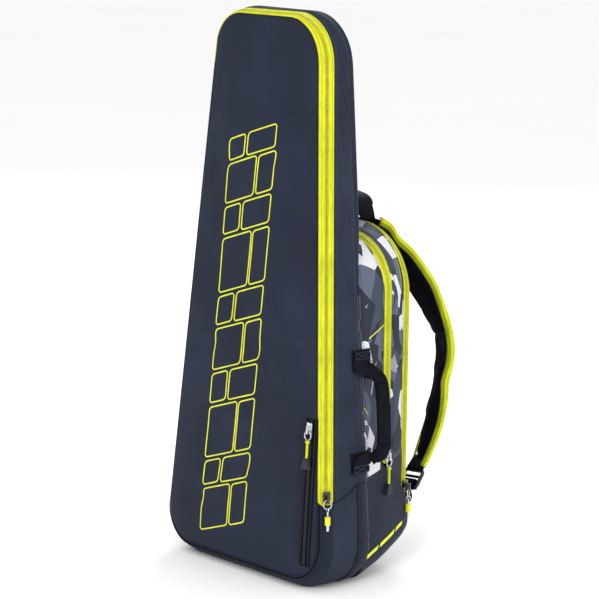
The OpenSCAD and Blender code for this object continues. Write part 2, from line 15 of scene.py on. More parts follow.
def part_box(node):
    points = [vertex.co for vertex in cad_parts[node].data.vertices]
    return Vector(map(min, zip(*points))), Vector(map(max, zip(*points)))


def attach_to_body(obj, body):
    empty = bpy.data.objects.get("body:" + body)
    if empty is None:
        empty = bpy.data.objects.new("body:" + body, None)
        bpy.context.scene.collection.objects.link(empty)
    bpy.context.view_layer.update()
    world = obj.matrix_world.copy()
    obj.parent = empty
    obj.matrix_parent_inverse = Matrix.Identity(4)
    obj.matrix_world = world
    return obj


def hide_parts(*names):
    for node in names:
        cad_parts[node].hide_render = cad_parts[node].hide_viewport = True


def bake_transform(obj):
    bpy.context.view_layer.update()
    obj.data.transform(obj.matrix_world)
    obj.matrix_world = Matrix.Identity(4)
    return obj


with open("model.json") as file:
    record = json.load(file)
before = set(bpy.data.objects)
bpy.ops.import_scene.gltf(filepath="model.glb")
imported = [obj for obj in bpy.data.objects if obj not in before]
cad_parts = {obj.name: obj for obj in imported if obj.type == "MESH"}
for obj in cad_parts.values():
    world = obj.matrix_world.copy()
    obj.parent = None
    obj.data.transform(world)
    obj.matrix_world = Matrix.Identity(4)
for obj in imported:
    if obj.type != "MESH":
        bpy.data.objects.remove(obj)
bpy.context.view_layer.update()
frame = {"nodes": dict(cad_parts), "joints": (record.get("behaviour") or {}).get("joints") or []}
JOINTS = {joint["name"]: joint for joint in frame["joints"]}
MM = 0.001
SIDES = ((1, "right"), (-1, "left"))


# ---- driving sizes

BAG_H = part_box("racket_gusset")[1].z
LOW_Z, HIGH_Z = 80 * MM, 700 * MM            # the two stations that set the taper
LOW_HALF_W, HIGH_HALF_W = 154 * MM, 105 * MM
LOW_DEPTH, HIGH_DEPTH = 85 * MM, 50 * MM
TOP_LEFT_R, TOP_RIGHT_R, FOOT_R = 47 * MM, 64 * MM, 52 * MM
ZIP_BACK, ZIP_OUT = 22 * MM, 6 * MM          # the main zip's run back and step out
ZIP_LOW, ZIP_FAR = 122 * MM, 690 * MM        # where the main zip starts and ends
PANEL_FOOT = 15 * MM
TAPER = (LOW_HALF_W - HIGH_HALF_W) / (HIGH_Z - LOW_Z)
SIDE_LEAN = math.atan(TAPER)
TILT = math.atan((LOW_DEPTH - HIGH_DEPTH) / (HIGH_Z - LOW_Z))
FRONT_FOOT_Y = -(LOW_DEPTH + LOW_Z * math.tan(TILT))
PANEL_TOP = (BAG_H + ZIP_BACK * math.sin(TILT)) / math.cos(TILT) - ZIP_OUT
SIDE_STEPS, TOP_STEPS, CORNER_STEPS, FOOT_STEPS = 120, 26, 14, 44

# Rings of the rear compartments: half width at the foot and at the top, top
# height, corner radius and depth.
RING_FOOT = 146 * MM
SEAM_RING = np.array([152.5, 128, 458, 62, 0.6]) * MM
INNER_RING_A = np.array([141, 139, 463, 74, 45]) * MM
INNER_RING_B = np.array([138, 136, 468, 77, 61]) * MM
OUTER_RING_A = np.array([123.5, 122.5, 474, 88, 97]) * MM
OUTER_RING_B = np.array([119, 119, 470, 92, 112]) * MM
PANEL_RING = np.array([111.5, 111.5, 464, 88, 117]) * MM
REAR_HINGE_Y, REAR_HINGE_Z = 121 * MM, 80 * MM


# ---- shader nodes

def linear(*rgb):
    """An sRGB colour, 0 to 255, as the linear colour that shaders take."""
    values = [c / 255 for c in rgb]
    return tuple(c / 12.92 if c <= 0.04045 else ((c + 0.055) / 1.055) ** 2.4 for c in values) + (1.0,)


class Shader:
    """A node material built round one Principled shader."""

    def __init__(self, name, rough=0.6, metal=0.0, sheen=0.0, specular=0.5, coat=0.0):
        self.material = bpy.data.materials.new(name)
        self.material.use_nodes = True
        self.tree = self.material.node_tree
        self.bsdf = self.tree.nodes["Principled BSDF"]
        for socket, value in (("Roughness", rough), ("Metallic", metal), ("Sheen Weight", sheen),
                              ("Specular IOR Level", specular), ("Coat Weight", coat),
                              ("Sheen Roughness", 0.4), ("Coat Roughness", 0.25)):
            self.bsdf.inputs[socket].default_value = value

    def node(self, kind, inputs=(), **settings):
        made = self.tree.nodes.new("ShaderNode" + kind)
        for key, value in settings.items():
            setattr(made, key, value)
        for key, value in dict(inputs).items():
            self.feed(value, made.inputs[key])
        return made

    def feed(self, value, socket):
        if isinstance(value, bpy.types.NodeSocket):
            self.tree.links.new(value, socket)
        else:
            socket.default_value = value

    def coordinates(self, uv=True):
        return self.node("TexCoord").outputs["UV" if uv else "Object"]

    def scaled(self, vector, factors):
        return self.node("Mapping", {"Vector": vector, "Scale": factors}).outputs["Vector"]

    def noise(self, vector, size, detail=2.0, rough=0.5):
        return self.node("TexNoise", {"Vector": vector, "Scale": 1 / size, "Detail": detail,
                                      "Roughness": rough}).outputs["Fac"]

    def cells(self, vector, size, randomness=1.0):
        """Random cells of about one size; the outputs of the node."""
        return self.node("TexVoronoi", {"Vector": vector, "Scale": 1 / size, "Randomness": randomness},
                         feature="F1").outputs

    def math(self, operation, a, b=0.5):
        return self.node("Math", {0: a, 1: b}, operation=operation).outputs["Value"]

    def shared(self, a, b, share):
        """That share of a, and the rest of b."""
        return self.math("ADD", self.math("MULTIPLY", a, share), self.math("MULTIPLY", b, 1 - share))

    def ramp(self, factor, stops, smooth=True):
        made = self.node("ValToRGB", {"Fac": factor})
        made.color_ramp.interpolation = "EASE" if smooth else "CONSTANT"
        while len(made.color_ramp.elements) < len(stops):
            made.color_ramp.elements.new(0.5)
        for element, (place, color) in zip(made.color_ramp.elements, stops):
            element.position = place
            element.color = color
        return made.outputs["Color"]

    def mix(self, factor, a, b):
        made = self.node("Mix", {0: factor, 6: a, 7: b}, data_type="RGBA")
        return made.outputs[2]

    def color(self, value):
        self.feed(value, self.bsdf.inputs["Base Color"])

    def tones(self, factor, *stops):
        """Colours the surface by a factor; each stop is a place and an sRGB colour."""
        self.color(self.ramp(factor, [(place, linear(*rgb)) for place, rgb in stops]))

    def rough(self, least, value, gain):
        """Roughness that follows a value up from the least."""
        self.feed(self.math("ADD", least, self.math("MULTIPLY", value, gain)), self.bsdf.inputs["Roughness"])

    def bump(self, height, distance, strength=1.0):
        made = self.node("Bump", {"Height": height, "Distance": distance, "Strength": strength})
        if self.bsdf.inputs["Normal"].is_linked:
            self.feed(self.bsdf.inputs["Normal"].links[0].from_socket, made.inputs["Normal"])
        self.feed(made.outputs["Normal"], self.bsdf.inputs["Normal"])


def crossed_threads(s, where, size):
    """Height of two sets of fine threads that cross, with no repeat."""
    lengthwise = s.noise(s.scaled(where, (0.16, 1.0, 1.0)), size, 2.0, 0.6)
    crosswise = s.noise(s.scaled(where, (1.0, 0.16, 0.16)), size, 2.0, 0.6)
    return s.shared(lengthwise, crosswise, 0.5)


def woven(name, light, dark, uv=True):
    """Plain woven cloth: crossing threads over a soft mottle of two colours."""
    s = Shader(name, rough=0.8, sheen=0.02, specular=0.1)
    where = s.coordinates(uv)
    weave = crossed_threads(s, where, 0.9 * MM)
    mottle = s.noise(where, 0.12, 4.0, 0.6)
    s.tones(s.shared(mottle, weave, 0.45), (0.34, dark), (0.64, light))
    s.bump(weave, 0.35 * MM)
    s.bump(s.noise(where, 14 * MM, 3.0, 0.5), 0.5 * MM, 0.6)
    return s.material


def coated(name, light, dark):
    """Coated cloth: a fine leather-like grain, with broad soft changes of tone and gloss."""
    s = Shader(name, specular=0.16)
    where = s.coordinates()
    broad = s.noise(where, 0.16, 3.0, 0.55)
    grain = s.noise(where, 1.6 * MM, 4.0, 0.7)
    pores = s.cells(where, 1.5 * MM)["Distance"]
    s.tones(s.shared(broad, grain, 0.6), (0.34, dark), (0.66, light))
    s.rough(0.44, grain, 0.18)
    s.bump(s.noise(where, 12 * MM, 3.0, 0.5), 0.45 * MM, 0.5)
    s.bump(pores, 0.12 * MM, 0.5)
    s.bump(grain, 0.25 * MM, 0.8)
    return s.material


def ribbed(name, light, dark, size, depth=0.3 * MM, uv=True):
    """Tape or webbing: fine ribs along it crossed by finer threads."""
    s = Shader(name, rough=0.7, specular=0.1)
    where = s.coordinates(uv)
    ribs = s.noise(s.scaled(where, (0.05, 1.0, 1.0)), size, 1.0, 0.5)
    threads = s.noise(s.scaled(where, (1.0, 0.25, 0.25)), size * 0.5, 2.0, 0.6)
    mottle = s.noise(where, 30 * MM, 2.0, 0.5)
    height = s.shared(ribs, threads, 0.65)
    s.tones(s.shared(mottle, height, 0.35), (0.36, dark), (0.6, light))
    s.bump(height, depth)
    return s.material


def air_mesh(name, light, dark):
    """Spacer mesh: close rows of small holes in a knitted face."""
    s = Shader(name, rough=0.85, specular=0.06)
    where = s.coordinates(False)
    holes = s.cells(where, 3.4 * MM, 0.3)["Distance"]
    knit = s.noise(where, 0.9 * MM, 2.0, 0.7)
    face = s.ramp(knit, [(0.35, linear(*dark)), (0.7, linear(*light))])
    s.color(s.mix(s.ramp(holes, [(0.1, (0, 0, 0, 1)), (0.45, (1, 1, 1, 1))]), linear(*dark), face))
    s.bump(holes, 0.9 * MM)
    s.bump(knit, 0.25 * MM)
    return s.material


def moulded(name, color, rough=0.45, grain=0.15 * MM):
    """Moulded plastic or rubber with a fine cast texture and slightly worn, lighter high spots."""
    s = Shader(name)
    color = linear(*color)
    where = s.coordinates(False)
    texture = s.noise(where, 0.7 * MM, 3.0, 0.6)
    broad = s.noise(where, 14 * MM, 2.0, 0.5)
    worn = tuple(min(1.0, c * 1.5 + 0.01) for c in color[:3]) + (1.0,)
    s.color(s.ramp(s.shared(texture, broad, 0.5), [(0.35, color), (0.75, worn)]))
    s.rough(rough - 0.08, broad, 0.16)
    s.bump(texture, grain, 0.4)
    return s.material


def metal(name, color, rough=0.22, enamel=False):
    """Cast zip metal: bright nickel or black enamel, with fine scratches."""
    s = Shader(name, metal=0.0 if enamel else 1.0, specular=0.6, coat=0.3 if enamel else 0.0)
    color = linear(*color)
    where = s.coordinates(False)
    scratch = s.noise(s.scaled(where, (1.0, 1.0, 0.12)), 0.5 * MM, 3.0, 0.7)
    smudge = s.noise(where, 5 * MM, 2.0, 0.5)
    dull = tuple(c * 0.72 for c in color[:3]) + (1.0,)
    s.color(s.ramp(smudge, [(0.3, dull), (0.6, color)]))
    s.rough(rough - 0.06, scratch, 0.2)
    s.bump(scratch, 0.05 * MM, 0.4)
    return s.material


def printed_shards(name):
    """Camouflage print: angular shards in white, greys and slates, with a few fine yellow lines."""
    s = Shader(name, rough=0.65, specular=0.2)
    where = s.scaled(s.coordinates(False), (1.0, 1.0, 0.6))

    def vectors(operation, *values):
        return s.node("VectorMath", dict(enumerate(values)), operation=operation).outputs

    def pick(number, *stops):
        return s.ramp(number, stops, smooth=False)

    def shards(cell, shift):
        """Cells cut in two by straight lines: the distance to the cut, and three random numbers."""
        place = s.node("Mapping", {"Vector": where, "Location": shift}).outputs["Vector"]
        cells = s.cells(place, cell)
        offset = vectors("SUBTRACT", place, cells["Position"])[0]
        heading = vectors("NORMALIZE", vectors("SUBTRACT", cells["Color"], (0.5, 0.5, 0.5))[0])[0]
        across = vectors("DOT_PRODUCT", offset, heading)["Value"]
        return across, s.node("SeparateColor", {"Color": cells["Color"]}).outputs

    white, ash = linear(204, 205, 212), linear(140, 146, 158)
    steel, slate, night = linear(84, 92, 108), linear(58, 65, 80), linear(38, 42, 54)
    big, big_pick = shards(38 * MM, (0.013, 0.021, 0.008))
    small, small_pick = shards(21 * MM, (0.4, 0.1, 0.27))
    first = pick(big_pick["Red"], (0.0, slate), (0.26, white), (0.52, steel), (0.66, night), (0.82, ash))
    second = pick(big_pick["Green"], (0.0, steel), (0.24, slate), (0.44, white), (0.64, night), (0.8, slate))
    cloth = s.mix(s.math("GREATER_THAN", big, 0.0), first, second)
    wedge = pick(small_pick["Green"], (0.0, night), (0.28, white), (0.54, ash), (0.66, slate), (0.84, steel))
    show = s.math("MULTIPLY", s.math("GREATER_THAN", small, 1 * MM),
                  s.math("GREATER_THAN", small_pick["Blue"], 0.48))
    cloth = s.mix(show, cloth, wedge)
    line = s.math("MULTIPLY", s.math("LESS_THAN", s.math("ABSOLUTE", big, 0.0), 0.45 * MM),
                  s.math("GREATER_THAN", big_pick["Blue"], 0.72))
    s.color(s.mix(line, cloth, linear(206, 212, 40)))
    s.bump(crossed_threads(s, where, 0.9 * MM), 0.25 * MM, 0.7)
    s.bump(s.noise(where, 12 * MM, 3.0, 0.5), 0.6 * MM, 0.6)
    return s.material


MAT = {
    "coated": coated("coated slate", (28, 37, 57), (19, 26, 41)),
    "gusset": woven("woven slate", (45, 52, 67), (31, 36, 48)),
    "camo": printed_shards("printed shards"),
    "tape": ribbed("yellow tape", (210, 212, 44), (180, 183, 26), 1.3 * MM),
    "coil": moulded("yellow coil", (172, 176, 20), 0.4),
    "print": moulded("yellow print", (204, 208, 30), 0.5, 0.05 * MM),
    "binding": ribbed("yellow binding", (198, 206, 30), (160, 168, 20), 1.6 * MM),
    # Painted shade: a darker copy of the yellow binding, for the shaded side face of the strap's outer edge
    # binding.
    "painted_shade_binding": ribbed("yellow binding painted shade", (134, 142, 26), (88, 96, 18), 1.6 * MM),
    "black_tape": ribbed("black tape", (16, 17, 27), (8, 8, 14), 1.3 * MM),
    "black_coil": moulded("black coil", (11, 11, 20), 0.5),
    "webbing": ribbed("black webbing", (15, 15, 26), (6, 6, 12), 2.0 * MM, 0.5 * MM),
    "mesh": air_mesh("black air mesh", (17, 17, 29), (6, 6, 12)),
    "lining": woven("grey lining", (84, 88, 96), (60, 64, 72), uv=False),
    "board": moulded("stiff board", (40, 41, 45), 0.7),
    "silver": metal("bright metal", (214, 216, 220), 0.2),
    "enamel": metal("black enamel", (20, 20, 26), 0.3, enamel=True),
    "yellow_rubber": moulded("yellow rubber", (200, 206, 24), 0.5),
    "black_rubber": moulded("black rubber", (14, 14, 22), 0.6),
    "cord": ribbed("yellow cord", (214, 218, 40), (160, 166, 20), 1.6 * MM, 0.4 * MM),
    "plastic": moulded("black plastic", (13, 13, 22), 0.42),
    "thread": ribbed("dark thread", (26, 29, 40), (18, 20, 29), 0.6 * MM, 0.05 * MM, uv=False),
    "pale_thread": ribbed("slate thread", (72, 80, 98), (54, 60, 76), 0.6 * MM, 0.05 * MM,
                          uv=False),
    "yellow_thread": ribbed("yellow thread", (170, 176, 22), (130, 136, 16), 0.6 * MM,
                            0.05 * MM, uv=False),
}


# ---- mesh helpers

def build(name, verts, faces, mats, uvs=None, smooth=True):
    """A mesh object from points and faces; uvs hold one pair for each corner of each face."""
    mesh = bpy.data.meshes.new(name)
    mesh.from_pydata([tuple(v) for v in verts], [], faces)
    for key in mats:
        mesh.materials.append(MAT[key])
    if uvs is not None:
        layer = mesh.uv_layers.new(name="UVMap")
        layer.data.foreach_set("uv", np.asarray(uvs, np.float32).ravel())
    mesh.polygons.foreach_set("use_smooth", [smooth] * len(faces))
    mesh.update()
    made = bpy.data.objects.new(name, mesh)
    bpy.context.scene.collection.objects.link(made)
    return made


def lengths(points):
    """Distance run along a line of points."""
    steps = np.linalg.norm(np.diff(points, axis=0), axis=1)
    return np.concatenate([[0.0], np.cumsum(steps)])


def unit_rows(vectors):
    """Each vector at unit length."""
    return vectors / np.maximum(np.linalg.norm(vectors, axis=-1, keepdims=True), 1e-12)


def at_runs(at, run, points):
    """The points of a line at some places along its run."""
    return np.stack([np.interp(at, run, points[:, k]) for k in range(3)], 1)


def surface(name, grid, mats, wrap=False, caps=False):
    """A sheet of quads through a grid of points, n along by m across. wrap joins the last column to
    the first, caps closes both ends of a wrapped sheet. UVs are in metres along and across."""
    grid = np.asarray(grid, float)
    n, m = grid.shape[:2]
    along = lengths(grid[:, m // 2])
    across = lengths(grid[n // 2])
    if wrap:
        across = np.append(across, across[-1] + np.linalg.norm(grid[n // 2, 0] - grid[n // 2, -1]))
    faces, uvs = [], []
    for i in range(n - 1):
        for j in range(m if wrap else m - 1):
            k = (j + 1) % m
            faces.append((i * m + j, i * m + k, (i + 1) * m + k, (i + 1) * m + j))
            uvs += [(along[i], across[j]), (along[i], across[j + 1]),
                    (along[i + 1], across[j + 1]), (along[i + 1], across[j])]
    if caps:
        for ring in (range(m - 1, -1, -1), range((n - 1) * m, n * m)):
            faces.append(tuple(ring))
            uvs += [(0.0, 0.0)] * m
    return build(name, grid.reshape(-1, 3), faces, mats, uvs)


def thicken(made, depth, inner=0):
    """Gives a sheet its real thickness. The inner face takes the material that is inner slots further on."""
    solid = made.modifiers.new("thickness", "SOLIDIFY")
    solid.thickness = depth
    solid.offset = -1.0
    solid.material_offset = inner
    solid.use_even_offset = False
    return made


def normals_of(grid):
    """Unit normals of a grid of points: across the sheet times along it."""
    return unit_rows(np.cross(np.gradient(grid, axis=1), np.gradient(grid, axis=0)))


def raised(grid, height):
    """The grid moved along its normals, by one height for each point."""
    return grid + normals_of(grid) * height[..., None]


def soft_noise(points, size, seed=0):
    """Smooth repeatable noise from -1 to 1 at each point, with features of the given size."""
    q = np.asarray(points) / size + 19.7 * seed + 100.0
    cell = np.floor(q).astype(np.int64)
    part = q - cell
    part = part * part * (3 - 2 * part)
    total = np.zeros(q.shape[:-1])
    for far in itertools.product((0, 1), repeat=3):
        key = ((cell[..., 0] + far[0]) * 73856093) ^ ((cell[..., 1] + far[1]) * 19349663) \
            ^ ((cell[..., 2] + far[2]) * 83492791)
        key = (key ^ (key >> 13)) * 1274126177
        value = ((key ^ (key >> 16)) & 0xFFFF) / 65535.0
        weight = [part[..., k] if far[k] else 1 - part[..., k] for k in range(3)]
        total += value * (weight[0] * weight[1] * weight[2])
    return 2 * total - 1


def folds(points, depth, size, seed=0):
    """Soft cloth undulation: a broad wave with a smaller one on it."""
    return depth * (0.7 * soft_noise(points, size, seed) + 0.3 * soft_noise(points, size * 0.4, seed + 5))


def attach(made, where, replaces=()):
    """Fixes a piece to the CAD body it rides on; given a blend instead, it only bakes the piece's placement
    into its points.
    """
    if isinstance(where, str):
        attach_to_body(made, where)
    else:
        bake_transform(made)
    if replaces:
        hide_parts(*replaces)
    return made


def sewn_cloth(name, grid, look, depth, where, nodes=()):
    """A sewn piece of cloth through a grid of points, with its lining inside."""
    return attach(thicken(surface(name, grid, [look, "lining"]), depth, inner=1), where, nodes)


def frame_matrix(origin, x_axis, y_axis, z_axis):
    """A placement from an origin and three axes."""
    m = Matrix.Identity(4)
    for column, axis in enumerate((x_axis, y_axis, z_axis)):
        for row in range(3):
            m[row][column] = axis[row]
    m.translation = Vector(origin)
    return m


def moved(points, matrix):
    a = np.array(matrix, float)
    return np.asarray(points, float) @ a[:3, :3].T + a[:3, 3]


class Soup:
    """Many small closed shapes gathered into one mesh."""

    def __init__(self):
        self.verts, self.faces, self.count = [], [], 0

    def add(self, verts, faces):
        self.verts.append(np.asarray(verts, float))
        self.faces += [tuple(i + self.count for i in face) for face in faces]
        self.count += len(verts)

    def build(self, name, mats, smooth=True):
        return build(name, np.concatenate(self.verts), self.faces, mats, smooth=smooth)


def along_line(points, normals, pitch, inset):
    """Evenly spaced places on a line: point, direction and normal at each."""
    run = lengths(points)
    total = run[-1] - 2 * inset
    count = max(1, int(total / pitch))
    at = inset + (np.arange(count) + 0.5) * total / count
    place = at_runs(at, run, points)
    direction = unit_rows(at_runs(at + 0.3 * MM, run, points) - at_runs(at - 0.3 * MM, run, points))
    normal = at_runs(at, run, normals)
    normal = unit_rows(normal - (normal * direction).sum(1, keepdims=True) * direction)
    return place, direction, normal


BEAD = [(-0.5, -0.5, 0), (0.5, -0.5, 0), (0.5, 0.5, 0), (-0.5, 0.5, 0),
        (-0.38, -0.3, 1), (0.38, -0.3, 1), (0.38, 0.3, 1), (-0.38, 0.3, 1)]
BEAD_FACES = [(3, 2, 1, 0), (0, 1, 5, 4), (1, 2, 6, 5), (2, 3, 7, 6), (3, 0, 4, 7), (4, 5, 6, 7)]


def beads(soup, points, normals, pitch, size, lift, inset):
    """Sets small raised beads, such as stitches or zip teeth, along a line. size is along, across, high."""
    bead = np.array(BEAD) * np.array(size)
    for p, d, n in zip(*along_line(points, normals, pitch, inset)):
        side = np.cross(n, d)
        soup.add(p + n * lift + bead[:, :1] * d + bead[:, 1:2] * side + bead[:, 2:] * n, BEAD_FACES)


STITCHES = {}


def stitch(where, points, normals, thread="thread", pitch=3.6 * MM, lift=-0.1 * MM, inset=0.0):
    """A row of sewn stitches on a surface; rows on one body are gathered into one piece."""
    key = (where if isinstance(where, str) else where[1], thread)
    soup = STITCHES.setdefault(key, (where, Soup()))[1]
    beads(soup, np.asarray(points), np.asarray(normals), pitch, (2.6 * MM, 0.7 * MM, 0.45 * MM), lift, inset)


def tube(name, path, radius, mats, sides=12, closed=False):
    """A round cord or wire along a path. radius is one value or one for each point."""
    path = np.asarray(path, float)
    if closed:
        tangent = np.roll(path, -1, 0) - np.roll(path, 1, 0)
    else:
        tangent = np.gradient(path, axis=0)
    tangent = unit_rows(tangent)
    side = np.cross(tangent[0], (0.0, 0.0, 1.0))
    if np.linalg.norm(side) < 0.1:
        side = np.cross(tangent[0], (0.0, 1.0, 0.0))
    angles = np.linspace(0, 2 * math.pi, sides, endpoint=False)[:, None]
    rings = []
    for point, ahead, r in zip(path, tangent, np.broadcast_to(radius, len(path))):
        side = unit_rows(side - (side @ ahead) * ahead)
        rings.append(point + r * (np.cos(angles) * side + np.sin(angles) * np.cross(ahead, side)))
    if closed:
        rings.append(rings[0])
    return surface(name, rings, mats, wrap=True, caps=not closed)


# ---- outlines

def unit(angle):
    return np.array([math.cos(angle), math.sin(angle)])


def corner(v, a, b, r, steps=CORNER_STEPS):
    """A rounded corner: v is the sharp corner, and a and b are the directions its edges face."""
    c = np.asarray(v) - r * (unit(a) + unit(b)) / (1 + unit(a) @ unit(b))
    return [c + r * unit(a + (b - a) * i / steps) for i in range(steps + 1)]


def straight(p, q, steps):
    """Points between p and q, without either end."""
    p, q = np.asarray(p), np.asarray(q)
    return [p + (q - p) * i / steps for i in range(1, steps)]


def side_x(s, out):
    return LOW_HALF_W + (LOW_Z - s) * TAPER + out / math.cos(SIDE_LEAN)


def top_corners(out, top):
    """The outline's rounded top corners, right and left, run from right to left."""
    return (corner((side_x(top, out), top), SIDE_LEAN, math.pi / 2, TOP_RIGHT_R + out),
            corner((-side_x(top, out), top), math.pi / 2, math.pi - SIDE_LEAN, TOP_LEFT_R + out))


def foot_corners(out, foot):
    """The outline's rounded foot corners, left and right, run from left to right."""
    return (corner((-side_x(foot, out), foot), math.pi - SIDE_LEAN, 1.5 * math.pi, FOOT_R + out),
            corner((side_x(foot, out), foot), -math.pi / 2, SIDE_LEAN, FOOT_R + out))


def arch(out, right, left):
    """The tapering outline from a height on the right, over the top, to a height on the left."""
    a, b = top_corners(out, PANEL_TOP + out)
    start, end = (side_x(right, out), right), (-side_x(left, out), left)
    left_steps = max(2, int(SIDE_STEPS * (HIGH_Z - left) / HIGH_Z) + 3)
    return np.array([start] + straight(start, a[0], SIDE_STEPS) + a + straight(a[-1], b[0], TOP_STEPS)
                    + b + straight(b[-1], end, left_steps) + [end])


def cup(out, foot, left, right):
    """The outline from a height on the left, round the bottom, to a height on the right."""
    a, b = foot_corners(out, foot)
    start, end = (-side_x(left, out), left), (side_x(right, out), right)
    return np.array([start] + straight(start, a[0], SIDE_STEPS) + a + straight(a[-1], b[0], FOOT_STEPS)
                    + b + straight(b[-1], end, 14) + [end])


def loop(out, foot, top):
    """The whole outline, from the middle of the foot up the right side and round to where it started."""
    a, b = top_corners(out, top)
    c, d = foot_corners(out, foot)
    base = straight(c[-1], d[0], FOOT_STEPS)
    middle = FOOT_STEPS // 2
    return np.array(base[middle:] + d + straight(d[-1], a[0], SIDE_STEPS) + a
                    + straight(a[-1], b[0], TOP_STEPS) + b + straight(b[-1], c[0], SIDE_STEPS) + c
                    + base[:middle + 1])


def on_front(x, depth, s):
    """A point in the front panel's own frame, as a point in the row frame. Depth 0 is its face."""
    x, depth, s = np.broadcast_arrays(x, depth, s)
    return np.stack([x, FRONT_FOOT_Y + depth * math.cos(TILT) + s * math.sin(TILT),
                     s * math.cos(TILT) - depth * math.sin(TILT)], -1)


def front_rail(path, depth):
    return on_front(path[:, 0], depth, path[:, 1])


def rear_arch(ring, low):
    """A rear compartment's outline at one ring, from its right foot over the top to its left foot."""
    low_w, high_w, top, r, y = ring
    lean = math.atan((low_w - high_w) / (top - RING_FOOT))
    foot = low_w - (low - RING_FOOT) * math.tan(lean)
    a = corner((high_w, top), lean, math.pi / 2, r)
    b = corner((-high_w, top), math.pi / 2, math.pi - lean, r)
    path = [(foot, low)] + straight((foot, low), a[0], 60) + a + straight(a[-1], b[0], 20) + b \
        + straight(b[-1], (-foot, low), 60) + [(-foot, low)]
    return np.array([(p[0], y, p[1]) for p in path])


def spread(rail_a, rail_b, profile):
    """A grid between two rails. profile is a list of (share of the way across, height above)."""
    profile = np.array(profile, float)
    grid = rail_a[:, None] + (rail_b - rail_a)[:, None] * profile[None, :, :1]
    return grid + normals_of(grid) * profile[None, :, 1:]


def puffed(depth, count, edge):
    """The inner part of a profile that swells between its two sewn edges."""
    t = np.linspace(0, 1, count)[1:-1]
    t = t + 0.12 * np.sin(2 * math.pi * t) * -0.5
    return [(f, edge + depth * math.sin(math.pi * f) ** 0.6) for f in t]


def between_seams(profile):
    """0 at both edges of a profile, rising to 1 in its middle."""
    return np.sin(math.pi * np.array([f for f, _ in profile])) ** 0.5


# The fold of the front panel: bag below and left of it, flap above and right.
FOLD = JOINTS["flap_fold"]
FOLD_AT, FOLD_DIR = np.array(FOLD["pos_m"]), np.array(FOLD["axis"])
FRONT_OUT = np.array([0.0, -math.cos(TILT), math.sin(TILT)])
FOLD_ACROSS = unit_rows(np.cross(FOLD_DIR, FRONT_OUT))
FOLD_ACROSS *= np.sign(FOLD_ACROSS[0])
FOLD_BEND = ("bag", "front_flap", FOLD_AT - 12 * MM * FOLD_ACROSS, FOLD_AT + 34 * MM * FOLD_ACROSS)


# ---- front panel

def panel_edge(top_r):
    """The front panel's edge on one side, from the middle of its foot to the middle of its top."""
    foot = corner((side_x(PANEL_FOOT, 0), PANEL_FOOT), -math.pi / 2, SIDE_LEAN, FOOT_R)
    top = corner((side_x(PANEL_TOP, 0), PANEL_TOP), SIDE_LEAN, math.pi / 2, top_r)
    return np.array(foot + straight(foot[-1], top[0], 130) + top)


EDGE, LEFT_EDGE = panel_edge(TOP_RIGHT_R), panel_edge(TOP_LEFT_R)
# Soft dents in the panel: place, half length, half height and depth, in millimetres.
DENTS = ((72, 640, 40, 9, 4.2), (66, 585, 46, 13, 3.4), (92, 500, 34, 9, 3.2), (88, 420, 30, 8, 2.8),
         (-70, 560, 30, 12, 2.6), (60, 320, 52, 11, 3.4), (84, 262, 38, 8, 3.0), (30, 160, 60, 14, 3.0),
         (-100, 300, 36, 10, 3.0), (-80, 90, 44, 12, 3.0))
POCKET_X, POCKET_LOW, POCKET_TOP = 130 * MM, 36 * MM, 236 * MM


def panel_swell(x, s):
    """How far the front panel stands out: a rolled edge at the seam, a soft crown and faint folds."""
    half = np.where(np.asarray(x) < 0, np.interp(s, LEFT_EDGE[:, 1], LEFT_EDGE[:, 0]),
                    np.interp(s, EDGE[:, 1], EDGE[:, 0]))
    reach = half - np.abs(x)
    edge = np.minimum(reach, np.minimum(s - PANEL_FOOT, PANEL_TOP - s)).clip(0)
    rolled = -1.8 * MM * np.exp(-edge / (2.2 * MM))
    crown = 4.2 * MM * (1 - np.exp(-edge / (45 * MM)))
    flat = np.stack(np.broadcast_arrays(x, 0 * np.asarray(x), s), -1)
    calm = 1 - np.exp(-edge / (20 * MM))
    dents = 0.0
    for at, up, wide, tall, deep in DENTS:
        aside = x / MM - at
        dents = dents + deep * MM * np.exp(-(aside / wide) ** 2 - ((s / MM - up - 0.22 * aside) / tall) ** 2)
    swell = rolled + crown + calm * (folds(flat, 2.4 * MM, 0.16, 2) + folds(flat, 0.6 * MM, 0.05, 3) - dents)
    aside = np.abs(x - POCKET_X) / (17 * MM)
    below = np.abs(s - (POCKET_LOW + POCKET_TOP) / 2) / (POCKET_TOP / 2 - POCKET_LOW / 2 + 14 * MM)
    return swell * (1 - np.exp(-aside ** 6) * np.exp(-below ** 14))


def panel_point(x, s, lift=0.0):
    return on_front(x, -panel_swell(x, s) - lift, s)


def make_front_panel():
    columns = np.linspace(-1, 1, 97)
    columns = columns * (1.32 - 0.32 * columns ** 2)
    rows = EDGE[:, 1]
    left = np.interp(rows, LEFT_EDGE[:, 1], LEFT_EDGE[:, 0])[:, None]
    x = np.where(columns < 0, left, EDGE[:, :1]) * columns[None, :]
    s = np.repeat(rows[:, None], len(columns), 1)
    sewn_cloth("front_panel_cloth", panel_point(x, s), "coated", 3.5 * MM, FOLD_BEND,
               ["front_panel", "front_flap"])
    around = loop(-3.2 * MM, PANEL_FOOT + 3.2 * MM, PANEL_TOP - 3.2 * MM)
    points = panel_point(around[:, 0], around[:, 1])
    stitch(FOLD_BEND, points, np.repeat(FRONT_OUT[None], len(points), 0), pitch=4 * MM)
    foot = front_rail(cup(0.8 * MM, PANEL_FOOT - 0.8 * MM, 70 * MM, ZIP_LOW), 0.9 * MM)
    swell = 1.4 * MM * np.clip(lengths(foot) / (70 * MM), 0.05, 1)
    attach(tube("panel_foot_piping", foot, swell, ["black_tape"], 8), "bag")


def densify(points, step):
    """Adds points to a closed outline so that none are further apart than step."""
    dense = []
    for p, q in zip(points, np.roll(points, -1, 0)):
        count = max(1, int(np.linalg.norm(q - p) / step))
        dense += [p + (q - p) * i / count for i in range(count)]
    return np.array(dense)


